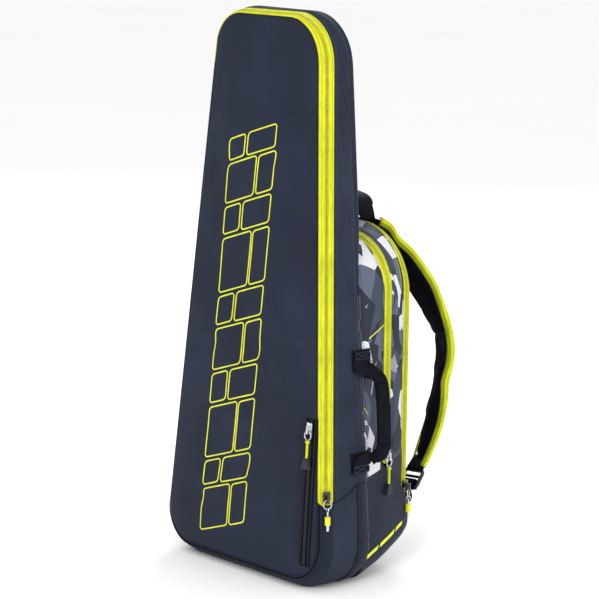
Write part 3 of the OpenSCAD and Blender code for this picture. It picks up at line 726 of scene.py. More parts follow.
def rounded(points, radius, steps=6):
    """A closed outline with each corner replaced by an arc of about that radius."""
    points = np.array(points, float)
    out = []
    for before, here, after in zip(np.roll(points, 1, 0), points, np.roll(points, -1, 0)):
        a, b = before - here, after - here
        cut = min(radius, 0.45 * np.linalg.norm(a), 0.45 * np.linalg.norm(b))
        p = here + a / np.linalg.norm(a) * cut
        q = here + b / np.linalg.norm(b) * cut
        for t in np.linspace(0, 1, steps + 1):
            out.append((1 - t) ** 2 * p + 2 * t * (1 - t) * here + t ** 2 * q)
    return np.array(out)


def add_strip(soup, rails, closed):
    """A solid strip between four rails, run round on itself or closed at both ends."""
    ring = np.stack(rails, 1)
    n = len(ring)
    faces = [(i * 4 + j, (i + 1) % n * 4 + j, (i + 1) % n * 4 + (j + 1) % 4, i * 4 + (j + 1) % 4)
             for i in range(n if closed else n - 1) for j in range(4)]
    if not closed:
        faces += [(0, 1, 2, 3), (n * 4 - 1, n * 4 - 2, n * 4 - 3, n * 4 - 4)]
    soup.add(ring.reshape(-1, 3), faces)


def ribbon(soup, outline, width, lift=0.35 * MM):
    """A printed line along a closed outline in the front panel's plane, as a low closed strip."""
    line = densify(outline, 2.5 * MM)
    ahead = unit_rows(np.roll(line, -1, 0) - np.roll(line, 1, 0))
    side = np.stack([-ahead[:, 1], ahead[:, 0]], 1)
    rails = []
    for share, height in ((-0.5, -0.3 * MM), (-0.5, lift), (0.5, lift), (0.5, -0.3 * MM)):
        p = line + side * width * share
        rails.append(panel_point(p[:, 0], p[:, 1], height))
    add_strip(soup, rails, closed=True)


def make_front_motif():
    """A column of plain outlined slabs up the left of the panel, in slanted rows of two."""
    soup = Soup()
    low = 30 * MM
    for k, height in enumerate((64, 38, 76, 46, 62, 44, 80, 42, 58, 34)):
        high = low + height * MM
        split = 0.38 if k % 2 else 0.64
        for t0, t1 in ((0.0, split), (split, 1.0)):
            slab = []
            for t, z in ((t0, low), (t1, low), (t1, high), (t0, high)):
                z += (30 * t + 8) * MM
                left, right = -86 * MM + 0.04 * z, 8 * MM + 0.045 * z
                slab.append(np.array((left * (1 - t) + right * t, z)))
            middle = sum(slab) / 4
            ribbon(soup, rounded([v - unit_rows(v - middle) * 3.4 * MM for v in slab], 6 * MM), 1.9 * MM)
        low = high + 1 * MM
    attach(soup.build("front_motif", ["print"]), FOLD_BEND)


def make_side_motif(grid):
    """Three short slanted bars on the right-hand side of the lower shell."""
    soup = Soup()
    normal = normals_of(grid)
    for start, end in ((10, 34), (39, 72), (77, 92)):
        edges, outs = [], []
        for offset in (0.0, 5.5 * MM):
            edge = []
            for y in np.linspace(start, end, 12) * MM:
                z = 33 * MM + 0.36 * (y - 14 * MM) + offset
                y += offset * 0.5
                near = np.abs(grid - np.array([0.2, y, z]))[..., 1:].sum(-1) + (grid[..., 0] < 0.08) * 9
                i, j = np.unravel_index(near.argmin(), near.shape)
                edge.append([grid[i, j, 0] + (y - grid[i, j, 1]) * -0.3, y, z])
                outs.append(normal[i, j])
            edges.append(np.array(edge))
        out = np.array(outs[:12])
        rails = [edges[k] + out * height * MM for k, height in ((0, -0.6), (0, 0.9), (1, 0.9), (1, -0.6))]
        add_strip(soup, rails, closed=False)
    attach(soup.build("side_motif", ["print"], smooth=False), "bag")


# ---- zips

def zip_profiles(width):
    """Cross sections of the two tape halves: share across, height."""
    slot = 0.9 * MM / width
    cord = 3.4 * MM / width
    near = [(0.0, -1.2 * MM), (0.02, -0.1 * MM), (0.07, 0.5 * MM), (0.16, 0.6 * MM), (0.24, 0.35 * MM),
            (0.5 - cord - 0.05, 0.2 * MM), (0.5 - cord, 0.1 * MM), (0.5 - cord * 0.55, 0.25 * MM),
            (0.5 - slot, 0.2 * MM)]
    far = [(1 - f, h) for f, h in reversed(near)]
    return near, far


def make_zip(name, rail_a, rail_b, width, near, far, near_nodes, far_nodes=(),
             looks=("tape", "coil", "yellow_thread"), slots=("yellow_tape", "yellow_coil")):
    """A closed zip between two rails: two tapes, two rows of teeth and a row of stitches on each.
    near and far are what the two halves ride on."""
    tape, coil, thread = looks
    middle = (rail_a + rail_b) / 2
    t = 1 - (lengths(middle) / (0.3 * width)).clip(0, 1)
    narrow = np.sqrt(np.maximum(1 - t ** 2, 0.0)) * 0.4 + 0.6
    for side, profile, where, nodes in zip(("near", "far"), zip_profiles(width), (near, far),
                                           (near_nodes, far_nodes)):
        profile = np.array(profile)
        share = 0.5 + (profile[:, 0] - 0.5)[None, :] * narrow[:, None]
        flat = rail_a[:, None] + (rail_b - rail_a)[:, None] * share[:, :, None]
        normal = normals_of(flat)
        grid = flat + normal * profile[None, :, 1:]
        attach(thicken(surface(f"{name}_{side}_tape", grid, [tape]), 0.9 * MM), where, nodes[:1])
        edge, sign, lead = (3, -1, 0.8 * MM) if side == "near" else (-4, 1, 0.0)
        stitch(where, grid[:, edge] + 0.1 * MM * normal[:, edge], normal[:, edge], thread, inset=3 * MM)
        teeth = Soup()
        line = middle + (rail_b - rail_a) * sign * 1.15 * MM / width
        line = line + lead * unit_rows(np.gradient(line, axis=0))
        beads(teeth, line, normal[:, len(profile) // 2], 1.6 * MM, (1.15 * MM, 3.0 * MM, 1.25 * MM),
              0.15 * MM, 2 * MM)
        attach(teeth.build(f"{name}_{side}_teeth", [coil]), where, nodes[1:])


def make_main_zip():
    # The far half is sewn to the gusset; the near half to the panel.
    a = front_rail(arch(0.0, ZIP_LOW, ZIP_FAR), 0.0)
    b = front_rail(arch(ZIP_OUT, ZIP_LOW, ZIP_FAR), ZIP_BACK)
    make_zip("main_zip", a, b, math.hypot(ZIP_BACK, ZIP_OUT), FOLD_BEND, "bag",
             ("flap_zip_tape", "flap_zip_coil", "main_zip_lower_tape"),
             ("main_zip_gusset_tape", "main_zip_gusset_coil"))


def make_rear_zips():
    for name, rings, lows, width, near, far in (
            ("inner_zip", (INNER_RING_A, INNER_RING_B), (157, 157), 16.3, "bag", "rear_section"),
            ("outer_zip", (OUTER_RING_A, OUTER_RING_B), (112, 94), 16.4, "rear_section", "back_panel")):
        rails = [rear_arch(ring, low * MM) for ring, low in zip(rings, lows)]
        nodes = [[f"{name}_{side}_{part}" for part in ("tape", "coil")] for side in ("front", "rear")]
        make_zip(name, *rails, width * MM, near, far, *nodes)


def make_pocket_zip():
    rows = np.linspace(POCKET_LOW, POCKET_TOP, 90)
    half = 11.5 * MM
    rails = [panel_point(POCKET_X + out, rows, 0.5 * MM) for out in (-half, half)]
    make_zip("pocket_zip", *rails, 2 * half, "bag", "bag", ("pocket_zip_tape", "pocket_zip_coil"),
             looks=("black_tape", "black_coil", "pale_thread"), slots=("black_tape", "black_plastic"))


# ---- gusset and rear wall

# Creases across the right side of the gusset: height, width and depth, in millimetres.
GUSSET_CREASES = ((782, 8, 4.2), (748, 6, 3.2), (716, 9, 3.0), (650, 7, 2.4), (560, 8, 2.4), (470, 8, 2.4))


def make_gusset():
    front = front_rail(loop(ZIP_OUT, ZIP_BACK * math.sin(TILT), PANEL_TOP + ZIP_OUT), ZIP_BACK)
    back = loop(ZIP_OUT, 0.0, BAG_H)
    back = np.stack([back[:, 0], np.full(len(back), -2.5 * MM), back[:, 1]], 1)
    profile = [(0.0, -1.3 * MM), (0.02, 0.1 * MM)] + puffed(1.6 * MM, 14, 0.4 * MM) \
        + [(0.98, 0.1 * MM), (1.0, -1.4 * MM)]
    grid = spread(front, back, profile)
    soft = folds(grid, 2.0 * MM, 0.1, 4) + folds(grid, 0.7 * MM, 0.035, 9)
    share = np.array([f for f, _ in profile])
    pull = np.exp(-((grid[..., 2] - 245 * MM) / (95 * MM)) ** 2) * (share ** 2 * (1 - share) ** 0.5)[None, :]
    soft = soft - 9 * MM * pull * (grid[..., 0] > 0)
    slanted = grid[..., 2] + 95 * MM * share[None, :]
    for at, wide, deep in GUSSET_CREASES:
        soft = soft - deep * MM * np.exp(-((slanted - at * MM) / (wide * MM)) ** 2) * (grid[..., 0] > 0)
    calm = between_seams(profile) * np.clip((grid[..., 2] - 20 * MM) / (40 * MM), 0, 1)
    grid = raised(grid, soft * calm - side_seam_depth(grid))
    free = (grid[:, 0, 2] < ZIP_LOW - 4 * MM) | (grid[:, 0, 0] < 0) & (grid[:, 0, 2] < ZIP_FAR - 4 * MM)
    grid[:, 0] += normals_of(grid)[:, 0] * 2.0 * MM * free[:, None]
    grid[:, 1] += normals_of(grid)[:, 1] * 0.7 * MM * free[:, None]
    grid[..., 2] = np.maximum(grid[..., 2], 0.2 * MM)
    sewn_cloth("gusset_cloth", grid, "gusset", 2.2 * MM, "bag", ["racket_gusset"])
    normal = normals_of(grid)
    for side, name in SIDES:
        make_lower_side_patch(grid, normal, side, name)
    stitch("bag", grid[:, -4], normal[:, -4], "pale_thread")
    stitch("bag", grid[~free, 3], normal[~free, 3], "pale_thread")


# Where the lower side patch is sewn to the gusset: y and height.
SEAM_LINE = np.array([(-64, 121), (-30, 133), (-14, 144), (1, 147)]) * MM


def make_lower_side_patch(grid, normal, side, name):
    """Coated cloth of the lower part, carried forward over the gusset's lower back edge."""
    rows, outs = [], []
    for line, out in zip(grid, normal):
        z = line[-1, 2]
        if line[-1, 0] * side < 0.1 or not 4 * MM < z < 147 * MM:
            continue
        front = np.interp(z, [0.005, 0.147], [-24 * MM, -16 * MM])
        y = np.linspace(front, 0.5 * MM, 9)
        rows.append(at_runs(y, line[:, 1], line))
        outs.append(at_runs(y, line[:, 1], out))
        for y, over in ((1.5 * MM, 1.3 * MM), (5 * MM, 1.5 * MM), (10 * MM, -1.4 * MM)):
            w, low = (np.interp(y, table[:, 0], table[:, 1]) for table in (SHELL_PLAN, SHELL_FLOOR))
            short = np.clip(30 * MM - (z - low), 0, 29.9 * MM)
            x = w - 30 * MM + math.sqrt((30 * MM) ** 2 - short ** 2) + over
            rows[-1] = np.vstack([rows[-1], [side * x, y, max(z, low)]])
            outs[-1] = np.vstack([outs[-1], outs[-1][-1]])
    lift = np.array([-0.6, 0.8, 1.2, 1.3, 1.4, 1.5, 1.7, 2.0, 2.2, 0, 0, 0]) * MM
    outs = np.array(outs)
    patch = np.array(rows) + outs * lift[None, :, None]
    sewn_cloth(f"lower_side_patch_{name}", patch, "coated", 0.9 * MM, "bag")
    stitch("bag", patch[:, 2], outs[:, 2])
    lines = [line for line in grid if line[-1, 0] * side > 0.1 and 60 * MM < line[-1, 2] < 300 * MM]
    lines.sort(key=lambda line: line[-1, 2])
    upper = []
    for y in np.linspace(-66 * MM, -17 * MM, 24):
        x, z = np.array([at_runs([y], line[:, 1], line)[0] for line in lines])[:, [0, 2]].T
        height = np.interp(y, SEAM_LINE[:, 0], SEAM_LINE[:, 1])
        upper.append((np.interp(height, z, x) + side * 0.3 * MM, y, height))
    for label, path in (("back", patch[:, 0] + outs[:, 0] * 0.9 * MM), ("upper", upper)):
        attach(tube(f"lower_seam_{label}_{name}", path, 0.8 * MM, ["thread"], 8), "bag")


def side_seam_depth(grid):
    """A narrow groove where the lower side patch is sewn to the gusset, on both sides."""
    height = np.interp(grid[..., 1], SEAM_LINE[:, 0], SEAM_LINE[:, 1])
    on_side = np.abs(grid[..., 0]) > 0.1
    return 1.6 * MM * np.exp(-((grid[..., 2] - height) / (1.6 * MM)) ** 2) * on_side


def make_front_wrap():
    """The cloth between the panel and the gusset where there is no zip."""
    a = front_rail(cup(0.0, PANEL_FOOT, ZIP_FAR, ZIP_LOW), 0.0)
    b = front_rail(cup(ZIP_OUT, ZIP_BACK * math.sin(TILT), ZIP_FAR, ZIP_LOW), ZIP_BACK)
    profile = [(0.0, -1.6 * MM), (0.04, -0.2 * MM), (0.12, 0.5 * MM), (0.3, 1.0 * MM), (0.5, 1.2 * MM),
               (0.7, 1.1 * MM), (0.88, 1.0 * MM), (0.97, 0.8 * MM), (1.0, 0.6 * MM)]
    grid = spread(a, b, profile)
    grid = raised(grid, folds(grid, 0.6 * MM, 0.07, 8) * between_seams(profile))
    grid[..., 2] = np.maximum(grid[..., 2], 0.3 * MM)
    sewn_cloth("front_wrap_cloth", grid, "coated", 1.6 * MM, "bag", ["front_wrap"])
    stitch("bag", grid[:, 3], normals_of(grid)[:, 3])


# The rear wall from its sewn edge inwards: share of the outline and depth in millimetres.
REAR_WALL_SECTION = ((0.996, -5.0), (0.998, -2.0), (1.001, 0.6), (1.003, 3.0), (0.998, 5.6), (0.985, 7.6),
                     (0.96, 8.8), (0.9, 9.6), (0.8, 9.8), (0.65, 9.8), (0.5, 9.8), (0.25, 9.8),
                     (0.08, 9.8), (0.001, 9.8))


def make_rear_wall():
    """The rear wall of the racket compartment: padded above the rear compartments, flat behind them."""
    edge = loop(ZIP_OUT - 0.6 * MM, 1 * MM, BAG_H - 0.8 * MM)
    centre = np.array([0.0, 0.36])
    rings = []
    for share, depth in REAR_WALL_SECTION:
        ring = centre + (edge - centre) * share
        above = np.clip((ring[:, 1] - 0.40) / 0.09, 0, 1)
        above = above * above * (3 - 2 * above)
        y = min(depth, 0.2) * (1 - above) + depth * above
        ring = np.stack([ring[:, 0], y * MM, np.maximum(ring[:, 1], 2.7 * MM)], 1)
        ring[:, 1] += folds(ring, 1.8 * MM, 0.12, 6) * min(1.0, (1.003 - share) * 6, share * 3) * above
        rings.append(ring)
    grid = np.array(rings)[:, ::-1]
    sewn_cloth("rear_wall_cloth", grid, "coated", 2.5 * MM, "bag", ["racket_rear_wall"])


# ---- rear compartments

def boundary_z(y):
    """Height at which the plain lower cloth meets the print on the sides."""
    return np.interp(y / MM, [0, 21, 40, 58, 100, 112], [147, 158, 163, 165, 171, 172]) * MM


def split_z(y):
    """Height of the line at which the rear compartments fold away from the lower shell."""
    return np.interp(y, [0.0, 61 * MM, REAR_HINGE_Y], [147 * MM, 155 * MM, REAR_HINGE_Z])


def make_side_strips():
    """The two printed strips, in front of the inner zip and between the two rear zips."""
    profile = [(0.0, -1.4 * MM), (0.03, 0.0)] + puffed(2.2 * MM, 12, 0.3 * MM) \
        + [(0.97, 0.0), (1.0, -1.3 * MM)]
    for name, rings, lows, body, seed in (
            ("side_strip", (SEAM_RING, INNER_RING_A), (146 * MM, 153 * MM), "bag", 11),
            ("rear_strip", (INNER_RING_B, OUTER_RING_A), (158 * MM, 164 * MM), "rear_section", 12)):
        grid = spread(*(rear_arch(ring, low) for ring, low in zip(rings, lows)), profile)
        soft = folds(grid, 2.4 * MM, 0.06, seed) + folds(grid, 0.8 * MM, 0.025, seed)
        grid = raised(grid, soft * between_seams(profile))
        sewn_cloth(f"{name}_print", grid, "camo", 1.8 * MM, body, [name])
        normal = normals_of(grid)
        for column in (3, -4):
            stitch(body, grid[:, column], normal[:, column])


SHELL_PLAN = np.array([(0, 151), (22, 146.5), (45, 142), (61, 138), (99, 128), (113, 121), (118, 117),
                       (121, 110)]) * MM
SHELL_FLOOR = np.array([(0, 1.5), (14, 4), (30, 9), (42, 13), (61, 21), (93, 35), (112, 45), (118, 51),
                        (121, 58)]) * MM


def shell_station(y, inset=0.0):
    """The lower shell's section at one depth, from its left top edge under the bottom to the right."""
    w = np.interp(y, SHELL_PLAN[:, 0], SHELL_PLAN[:, 1]) - inset
    low = np.interp(y, SHELL_FLOOR[:, 0], SHELL_FLOOR[:, 1]) + inset * 0.4
    top = np.interp(y, [42 * MM, 45 * MM], [boundary_z(y), split_z(y)])
    r = np.interp(y, [0, 121 * MM], [30 * MM, 16 * MM])
    a = corner((-w, low), math.pi, 1.5 * math.pi, r, 10)
    b = corner((w, low), -math.pi / 2, 0.0, r, 10)
    path = [(-w, top)] + straight((-w, top), a[0], 24) + a + straight(a[-1], b[0], 30) + b \
        + straight(b[-1], (w, top), 24) + [(w, top)]
    return np.array([(p[0], y, p[1]) for p in path])


def make_lower_shell():
    depths = np.concatenate([[0.2, 2, 4], np.linspace(7, 117, 40), [118.6, 119.8, 120.6, 121]]) * MM
    rounding = np.interp(depths, [112 * MM, 118 * MM, 121 * MM], [0, 0.6 * MM, 2 * MM])
    stations = [shell_station(y, inset) for y, inset in zip(depths, rounding)]
    last = stations[-1]
    top_line = np.stack([last[:, 0], last[:, 1], np.full(len(last), REAR_HINGE_Z)], 1)
    for t in (0.06, 0.2, 0.4, 0.6, 0.8, 1.0):
        row = last + (top_line - last) * t
        row[:, 0] *= 1 - 0.02 * t
        row[:, 1] += 1.2 * MM * math.sin(math.pi * min(t, 0.9))
        stations.append(row)
    grid = np.array(stations)[:, ::-1]
    soft = folds(grid, 2.2 * MM, 0.08, 21) + folds(grid, 0.6 * MM, 0.03, 22)
    calm = np.clip((grid[..., 2] - 8 * MM) / (30 * MM), 0, 1) * np.clip((grid[..., 1]) / (12 * MM), 0, 1)
    swell = 1.5 * MM * np.clip(np.sin(math.pi * np.clip(grid[..., 1] / 0.121, 0, 1)), 0, 1)
    grid = raised(grid, (soft + swell) * calm)
    grid[..., 2] = np.maximum(grid[..., 2], 0.8 * MM)
    sewn_cloth("lower_shell_cloth", grid, "coated", 2.0 * MM, "bag", ["lower_shell"])
    make_side_motif(grid[:, :30])


def make_rear_lower_sides():
    """Plain cloth below the print on the outer compartment, down to the folding line."""
    for side, name in SIDES:
        y, t = np.meshgrid(np.linspace(61 * MM, 97 * MM, 16), np.linspace(0, 1, 16))
        x = np.interp(y, SHELL_PLAN[:, 0], SHELL_PLAN[:, 1]) - 0.11 * (y - 61 * MM)
        low = split_z(y)
        grid = np.stack([side * x, y, low + 0.3 * MM + (boundary_z(y) - low) * t], -1)[:, ::side]
        soft = folds(grid, 1.2 * MM, 0.06, 23) + 1.2 * MM
        grid = raised(grid, soft * np.sin(np.linspace(0.2, math.pi - 0.2, 16))[:, None])
        sewn_cloth(f"rear_lower_side_{name}", grid, "coated", 1.8 * MM, "rear_section")
        stitch("rear_section", grid[-3], normals_of(grid)[-3], "pale_thread")


def make_back_panel():
    """The back panel: air mesh over foam, with a rounded edge sewn to the outer zip."""
    low = 84 * MM
    over = rear_arch(PANEL_RING, low)
    outer = np.concatenate([over, straight(over[-1], over[0], 40), over[:1]])
    centre = np.array([0.0, 0.0, 0.27])
    rings = []
    for share, y in ((1.06, 112.5), (1.04, 114.6), (1.01, 116.2), (0.98, 117.0), (0.9, 117.2), (0.7, 117.2),
                     (0.4, 117.2), (0.1, 117.2), (0.001, 117.2)):
        ring = centre + (outer - centre) * share
        ring[:, 1] = y * MM
        ring[:, 2] = np.maximum(ring[:, 2], low)
        rings.append(ring)
    grid = np.array(rings)[:, ::-1]
    sewn_cloth("back_panel_mesh", grid, "mesh", 3 * MM, "back_panel", ["back_panel"])
    line = np.array([(x, 120.6, 84) for x in np.linspace(-109, 109, 40)]) * MM
    webbing("back_fold_tape", line, 18 * MM, 2.4 * MM, (0, -0.2, 1),
            ("rear_section", "back_panel", (0, 0, 78 * MM), (0, 0, 90 * MM)))


# ---- straps and handles

def band_sides(path, side_axis):
    """Unit vectors across a band and out of its face, at each point of its path."""
    tangent = unit_rows(np.gradient(path, axis=0))
    side = np.broadcast_to(np.asarray(side_axis, float), path.shape)
    side = unit_rows(side - (side * tangent).sum(1, keepdims=True) * tangent)
    return side, np.cross(tangent, side)


def band(name, path, widths, thickness, side_axis, look):
    """Flat webbing or a flat pad along a path, with rounded edges. side_axis points across it."""
    side, normal = band_sides(path, side_axis)
    half = np.broadcast_to(widths, len(path)) / 2
    angle = 2 * math.pi * np.arange(24) / 24
    c, s = np.cos(angle), np.sin(angle)
    c = np.copysign(np.abs(c) ** 0.35, c)[:, None]
    s = np.copysign(np.abs(s) ** 0.6, s)[:, None]
    rings = path[:, None] + side[:, None] * half[:, None, None] * c + normal[:, None] * thickness / 2 * s
    return surface(name, rings, [look], wrap=True, caps=True)


def webbing(name, path, widths, thickness, side_axis, where, nodes=(), look="webbing"):
    """A band fixed to the body it rides on."""
    return attach(band(name, path, widths, thickness, side_axis, look), where, nodes)


def smooth_path(points, count):
    """A smooth curve through a few points."""
    points = np.asarray(points, float)
    padded = np.concatenate([2 * points[:1] - points[1:2], points, 2 * points[-1:] - points[-2:-1]])
    at = lengths(points)
    out = []
    for d in np.linspace(0, at[-1], count):
        i = min(np.searchsorted(at, d, "right") - 1, len(points) - 2)
        t = (d - at[i]) / (at[i + 1] - at[i])
        a, b, c, e = padded[i:i + 4]
        out.append(0.5 * (2 * b + (c - a) * t + (2 * a - 5 * b + 4 * c - e) * t * t
                          + (3 * b - a - 3 * c + e) * t ** 3))
    return np.array(out)


def settle(made):
    """Replaces a piece's mesh by what its modifiers make of it."""
    graph = bpy.context.evaluated_depsgraph_get()
    mesh = bpy.data.meshes.new_from_object(made.evaluated_get(graph))
    made.modifiers.clear()
    made.data = mesh
    mesh.polygons.foreach_set("use_smooth", [True] * len(mesh.polygons))


def points_of(made):
    flat = np.empty(len(made.data.vertices) * 3, np.float32)
    made.data.vertices.foreach_get("co", flat)
    return flat.reshape(-1, 3).astype(float)


def set_points(made, points):
    made.data.vertices.foreach_set("co", np.asarray(points, np.float32).ravel())
    made.data.update()


def plump(made):
    """Blows a closed piece up into a stuffed pad by a short cloth simulation. No point moves past a limit."""
    limit = 5 * MM
    remesh = made.modifiers.new("remesh", "REMESH")
    remesh.mode = "VOXEL"
    remesh.voxel_size = 5 * MM
    settle(made)
    start = points_of(made)
    cloth = made.modifiers.new("cloth", "CLOTH")
    cloth.settings.use_pressure = True
    cloth.settings.uniform_pressure_force = 4.0
    cloth.settings.effector_weights.gravity = 0.0
    cloth.point_cache.frame_start = 1
    cloth.point_cache.frame_end = 20
    for step in range(1, 21):
        bpy.context.scene.frame_set(step)
    settle(made)
    move = points_of(made) - start
    far = np.linalg.norm(move, axis=1, keepdims=True)
    set_points(made, start + move * np.minimum(1, limit / np.maximum(far, 1e-9)))
    bpy.context.scene.frame_set(1)
    smooth = made.modifiers.new("smooth", "SUBSURF")
    smooth.levels = 1
    smooth.render_levels = 1
    settle(made)


def mirrored(made, name):
    """The same piece on the other side."""
    mesh = made.data.copy()
    mesh.name = name
    twin = bpy.data.objects.new(name, mesh)
    set_points(twin, points_of(made) * np.array([-1, 1, 1]))
    mesh.flip_normals()
    bpy.context.scene.collection.objects.link(twin)
    return twin


def box_stitch(where, centre, across, along, normal, width, height):
    """A sewn rectangle with its two diagonals."""
    across, along = np.asarray(across) * width / 2, np.asarray(along) * height / 2
    corners = [np.asarray(centre) + across * a + along * b for a, b in ((-1, -1), (1, -1), (1, 1), (-1, 1))]
    for a, b in ((0, 1), (1, 2), (2, 3), (3, 0), (0, 2), (1, 3)):
        line = corners[a] + (corners[b] - corners[a]) * np.linspace(0, 1, 8)[:, None]
        stitch(where, line, np.repeat(np.asarray(normal, float)[None], 8, 0), "pale_thread", lift=0.0)


# Centre line of the right shoulder strap: x, y, z and width, in millimetres.
STRAP_KNOTS = [(44, 108, 474, 44), (45, 125, 464, 45), (46, 138, 446, 46), (53, 160, 420, 60),
               (66, 190, 372, 65), (86, 214, 300, 62), (90, 206, 240, 56), (93, 188, 188, 44),
               (95, 169, 151, 33), (97, 155, 129, 25)]
STRAP_SEAMS = (0.1, 0.2, 0.52, 0.86)         # shares of its length
# Each edge binding: which edge, look, inset from the edge, width, thickness and height, in millimetres. The
# second outer binding takes a darker copy of the yellow binding: painted shade on the side face of the
# strap's edge.
STRAP_BINDINGS = (("outer_bright", 1, "binding", 0.8, 3.4, 5.2, -2.6),
                  ("outer_painted_shade", 1, "painted_shade_binding", 1.4, 4.0, 5.2, 2.4),
                  ("outer_back", 1, "binding", 4.4, 5.2, 2.6, -5.8),
                  ("inner_bright", -1, "binding", 0.8, 3.4, 2.6, -3.8),
                  ("inner_back", -1, "binding", 4.4, 5.2, 1.3, -7.0))


def shape_strap_pad(pad, path, width, across, normal):
    """Draws the plumped pad out to its full width and presses its cross seams in."""
    run = lengths(path)
    tangent = unit_rows(np.gradient(path, axis=0))
    points = points_of(pad)
    near = ((points[:, None] - path[None]) ** 2).sum(-1).argmin(1)
    offset = points - path[near]
    at = run[near] + (offset * tangent[near]).sum(1)
    height = (offset * normal[near]).sum(1)
    aside = (offset * across[near]).sum(1)
    reach = np.array([np.abs(aside[np.abs(near - k) < 3]).max() for k in range(len(path))])
    points += across[near] * (aside * ((width / 2 - 1.5 * MM) / reach - 1)[near])[:, None]
    squeeze = sum(0.5 * np.exp(-((at - share * run[-1]) / (3.2 * MM)) ** 2) for share in STRAP_SEAMS)
    set_points(pad, points - normal[near] * (height * squeeze)[:, None])


def make_straps():
    knots = smooth_path(STRAP_KNOTS, 72) * MM
    path, width = knots[:, :3], knots[:, 3]
    twist = np.radians(np.interp(-path[:, 2], np.array([-420, -372, -300, -240, -188, -140]) * MM,
                                 [0, 5, 26, 36, 14, 0]))
    sides = np.stack([np.cos(twist), -np.sin(twist), 0 * twist], 1)
    pad = band("right_strap_pad_mesh", path, width - 8 * MM, 8 * MM, sides, "mesh")
    across, normal = band_sides(path, sides)
    plump(pad)
    shape_strap_pad(pad, path, width, across, normal)
    for side, name in SIDES:
        flip = np.array([side, 1, 1])
        where = ("back_panel", f"{name}_strap", (0, 118 * MM, 0), (0, 138 * MM, 0))
        made = pad if side > 0 else mirrored(pad, "left_strap_pad_mesh")
        attach(made, where, [f"{name}_strap_pad"])
        for label, edge, look, inset, wide, thick, height in STRAP_BINDINGS:
            rail = path + across * edge * (width[:, None] / 2 - inset * MM) + normal * height * MM
            webbing(f"{name}_strap_{label}_binding", rail * flip, wide * MM, thick * MM, sides * flip, where,
                    look=look)
        rail = path + across * (width[:, None] / 2 - 7.6 * MM) + normal * 5.2 * MM
        stitch(where, (rail * flip)[4:-9], (normal * flip)[4:-9])
        make_strap_fittings(name, flip, path, across[-1], normal[-1])


def make_strap_fittings(name, flip, path, level, out):
    """The ladder buckle at the pad's lower end, with the webbing above and below it."""
    body = f"{name}_strap"
    down = unit_rows(path[-1] - path[-2])
    centre = path[-1] + down * 20 * MM

    def at(ahead, high, shift=(0, 0, 0)):
        """A point by the buckle: along the strap, out of its face, and a shift, in millimetres."""
        return centre + (down * ahead + out * high + np.array(shift)) * MM

    outline = rounded(np.array([(-17, -13), (17, -13), (14, 13), (-14, 13)]) * MM, 6 * MM)
    ring = np.array([centre + level * a + down * b for a, b in densify(outline, 2.5 * MM)])
    buckle = tube(f"{name}_buckle_frame", ring * flip, 2.6 * MM, ["plastic"], closed=True)
    attach(buckle, body, [f"{name}_strap_buckle"])
    for k, middle in enumerate((at(-3, 1.5), at(5, -1.5))):
        bar = np.array([middle + level * a * MM for a in np.linspace(-15.5, 15.5, 9)])
        attach(tube(f"{name}_buckle_bar_{k}", bar * flip, 2.1 * MM, ["plastic"]), body)
    upper = smooth_path([at(-36, -2), at(-20, -3), at(-12, -4), at(-14, 4), at(-20, 3), at(-32, 0)], 30)
    webbing(f"{name}_strap_upper_webbing", upper * flip, 24 * MM, 1.8 * MM, level * flip, body)
    foot = np.array([111, 118.5, 104]) * MM
    lower = smooth_path([foot, foot + np.array([-2, 14, -2]) * MM, (foot * 2 + centre) / 3 - [0, 0, 4 * MM],
                         at(12, -3), at(4, -4), at(1, 1), at(5, 4.5), at(16, 5),
                         at(24, 0, (0, 2, -3)), at(28, 0, (0, -1, -6)), at(22, 0, (0, -6, -6))], 70)
    webbing(f"{name}_strap_lower_webbing", lower * flip, 21 * MM, 1.7 * MM, level * flip,
            ("back_panel", body, (0, 118 * MM, 0), (0, 134 * MM, 0)), [f"{name}_strap_webbing"])


def make_side_handle():
    """Webbing folded into a narrow grip between two sewn patches, resting swung towards the back."""
    swing = JOINTS["side_handle_swing"]
    pivot, up = np.array(swing["pos_m"]), np.array(swing["axis"])
    out = np.array([up[2], 0, -up[0]])
    place = frame_matrix(pivot - out * 6.5 * MM, out, (0, 1, 0), up)
    swung = np.append(unit(math.radians(55)), 0.0)
    grip = [np.array([6.5, 0, z]) + swung * r for r, z in (
        (5, 9), (15, 10), (21.5, 15), (25, 28), (26, 66), (25, 102), (21, 116), (13, 123), (5, 127))]
    points = smooth_path([(3.6, -7, -10), (3.8, -6, -1), (5, -3, 5)] + grip + [(5, 1, 132), (3.8, 2, 138),
                                                                             (3.6, 3, 150)], 90) * MM
    bend = np.clip((points[:, 0] - 4 * MM) / (12 * MM), 0, 1)
    angle = math.radians(90) - math.radians(52) * bend
    side = np.stack([np.cos(angle), np.sin(angle), 0 * angle], 1)
    width = (30 - 11 * bend ** 0.7) * MM
    side = side @ np.array(place.to_3x3()).T
    where = ("bag", "side_handle_loop", pivot - out * 2 * MM, pivot + out * 6 * MM)
    webbing("side_handle_webbing", moved(points, place), width, 3.2 * MM, side, where, ["side_handle"])
    inner = moved(points + np.array([2.2, -2.4, 0]) * MM, place)
    webbing("side_handle_fold", inner[26:-26], 15 * MM, 3.0 * MM, side[26:-26], "side_handle_loop")
    for label, low, shift, sewn, nodes in (("lower", -12, -7, -6, ["side_handle_tabs"]),
                                           ("upper", 126, 3, 146, ())):
        line = np.array([(1.3, shift, low + t) for t in np.linspace(0, 28, 8)]) * MM
        webbing(f"side_handle_{label}_patch", moved(line, place), 33 * MM, 2.2 * MM, (0, 1, 0), "bag", nodes)
        centre = moved(np.array([5.3, shift, sewn]) * MM, place)
        box_stitch("bag", centre, (0, 1, 0), up, out, 26 * MM, 9 * MM)


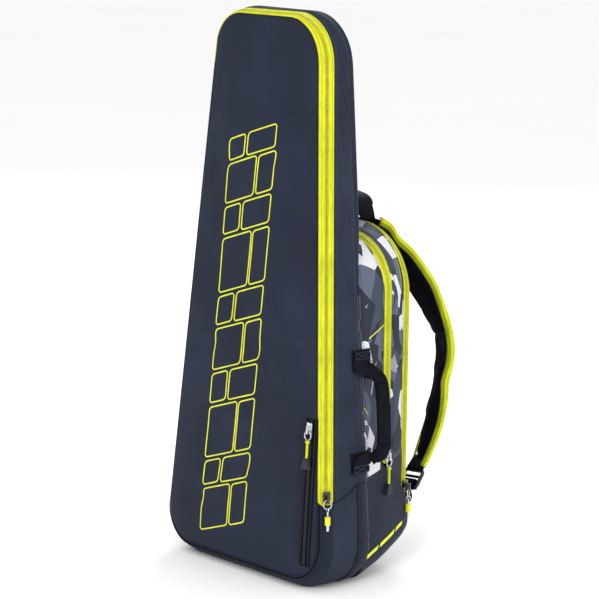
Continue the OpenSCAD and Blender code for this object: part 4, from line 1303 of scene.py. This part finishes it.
def make_top_handle():
    """Grab handle: webbing gathered into the back panel's top edge, rising to a loop across the bag."""
    pivot = np.array(JOINTS["top_handle_fold"]["pos_m"])
    half = 38
    rise = [(half, 11, -15), (half, 10, -7), (half, 5, 1), (half, 0, 7), (half - 0.5, -2, 13),
            (half - 3.5, -2, 20), (half - 12, -2, 25.5), (half - 24, -2, 28), (8, -2, 28.6)]
    points = smooth_path(rise + [(-x, y, z) for x, y, z in reversed(rise)], 110) * MM
    width = 15 * MM + 17 * MM * np.clip((points[:, 2] + 6 * MM) / (17 * MM), 0, 1)
    where = ("back_panel", "top_handle_loop", pivot - [0, 0, 2 * MM], pivot + [0, 0, 8 * MM])
    webbing("top_handle_webbing", points + pivot, width, 4.2 * MM, (0, 1, 0), where,
            ["top_handle", "top_handle_anchors"])


def make_back_fittings():
    """Padded columns on the back panel and the webbing that holds the straps."""
    low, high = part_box("back_pads")
    middle, span = (low.z + high.z) / 2, high.z - low.z
    wide = 66 * MM
    for side, name in SIDES:
        x = side * (high.x - wide / 2)
        line = np.array([(x, low.y + 5 * MM, z) for z in np.linspace(low.z + 5 * MM, high.z - 5 * MM, 40)])
        ends = np.abs(line[:, 2] - middle) / (span / 2)
        widths = (wide - 6 * MM) * (1 - 0.25 * ends ** 8)
        pad = band(f"{name}_back_pad_mesh", line, widths, 6 * MM, (1, 0, 0), "mesh")
        plump(pad)
        points = points_of(pad)
        outward = np.clip((points[:, 1] - low.y - 3 * MM) / (4 * MM), 0, 1)
        dents = sum(2.6 * MM * np.exp(-((points[:, 2] - (low.z + span * share)) / (4 * MM)) ** 2)
                    for share in (0.25, 0.5, 0.75))
        points[:, 1] = np.maximum(points[:, 1] - dents * outward, low.y - 0.5 * MM)
        set_points(pad, points)
        attach(pad, "back_panel", ["back_pads"] if side > 0 else ())
    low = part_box("strap_yoke")[0]
    yoke_z = 449 * MM
    line = np.array([(x, low.y + 1.6 * MM, yoke_z) for x in np.linspace(-66, 66, 20) * MM])
    webbing("strap_yoke_webbing", line, 26 * MM, 2.4 * MM, (0, 0, 1), "back_panel", ["strap_yoke"])
    for side, _ in SIDES:
        box_stitch("back_panel", (side * 46 * MM, low.y + 2.7 * MM, yoke_z), (1, 0, 0), (0, 0, 1), (0, 1, 0),
                   24 * MM, 18 * MM)
    low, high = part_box("strap_lower_tabs")
    for side, name in SIDES:
        x = side * (high.x - 8 * MM)
        line = np.array([(x, low.y + 1.8 * MM, z) for z in np.linspace(low.z, high.z, 8)])
        webbing(f"{name}_strap_lower_patch", line, 18 * MM, 3 * MM, (1, 0, 0), "back_panel",
                ["strap_lower_tabs"] if side > 0 else ())


# ---- CAD nodes that stay in view

def dress_cad_nodes():
    looks = {"base_board": "board", "pocket_pouch": "lining", "compartment_divider": "lining",
             "main_zip_slider": "enamel", "outer_zip_slider": "enamel",
             "pocket_zip_slider": "silver", "inner_zip_slider": "silver"}
    pull_looks = {"ring": "silver", "clasp": "silver", "tip": "silver", "barrel": "yellow_rubber",
                  "cord": "cord", "end": "black_rubber"}
    for node, made in frame["nodes"].items():
        look = looks.get(node) or pull_looks.get(node.partition("_pull_")[2])
        if look:
            made.data.materials.clear()
            made.data.materials.append(MAT[look])


# ---- stage, light and camera

def make_stage():
    size = 30.0
    floor = build("floor", [(-size, -size, 0), (size, -size, 0), (size, size, 0), (-size, size, 0)],
                  [(0, 1, 2, 3)], [], smooth=False)
    s = Shader("pale floor", rough=0.9, specular=0.1)
    mottle = s.noise(s.coordinates(False), 0.8)
    s.color(s.ramp(mottle, [(0.0, (0.93, 0.93, 0.93, 1)), (1.0, (0.95, 0.95, 0.95, 1))]))
    floor.data.materials.append(s.material)
    world = bpy.data.worlds.new("studio")
    world.use_nodes = True
    background = world.node_tree.nodes["Background"].inputs
    background["Color"].default_value = (1, 1, 1, 1)
    background["Strength"].default_value = 1.0
    bpy.context.scene.world = world


def area_light(name, place, target, size, power):
    data = bpy.data.lights.new(name, "AREA")
    data.shape = "DISK"
    data.size = size
    data.energy = power
    light = bpy.data.objects.new(name, data)
    light.location = place
    light.rotation_mode = "QUATERNION"
    light.rotation_quaternion = (Vector(target) - Vector(place)).to_track_quat("-Z", "Y")
    bpy.context.scene.collection.objects.link(light)


def make_camera():
    azimuth, elevation, roll = math.radians(47.51), math.radians(10.275), math.radians(0.794)
    target, distance = Vector((0.01848, 0.0, 0.37166)), 3.31
    back = Vector((math.sin(azimuth) * math.cos(elevation), -math.cos(azimuth) * math.cos(elevation),
                   math.sin(elevation)))
    level = Vector((math.cos(azimuth), math.sin(azimuth), 0.0))
    upright = back.cross(level)
    right = math.cos(roll) * level + math.sin(roll) * upright
    up = -math.sin(roll) * level + math.cos(roll) * upright
    data = bpy.data.cameras.new("camera")
    data.sensor_width = 36.0
    data.lens = 145.6
    camera = bpy.data.objects.new("camera", data)
    camera.matrix_world = frame_matrix(target + back * distance, right, up, back)
    bpy.context.scene.collection.objects.link(camera)
    bpy.context.scene.camera = camera


def sew_stitches():
    for (body, thread), (where, soup) in STITCHES.items():
        attach(soup.build(f"{body}_{thread}_stitches", [thread]), where)


make_camera()
make_stage()
area_light("key", (1.6, -2.6, 2.4), (0, 0, 0.4), 1.6, 46)
area_light("fill", (3.0, 0.4, 1.4), (0, 0, 0.4), 1.6, 22)
area_light("rim", (-1.6, 2.2, 2.2), (0, 0, 0.4), 1.4, 34)
bpy.context.scene.view_settings.view_transform = "Standard"

make_front_panel()
make_front_motif()
make_main_zip()
make_rear_zips()
make_pocket_zip()
make_gusset()
make_front_wrap()
make_rear_wall()
make_side_strips()
make_lower_shell()
make_rear_lower_sides()
make_back_panel()
make_straps()
make_side_handle()
make_top_handle()
make_back_fittings()
dress_cad_nodes()
sew_stitches()
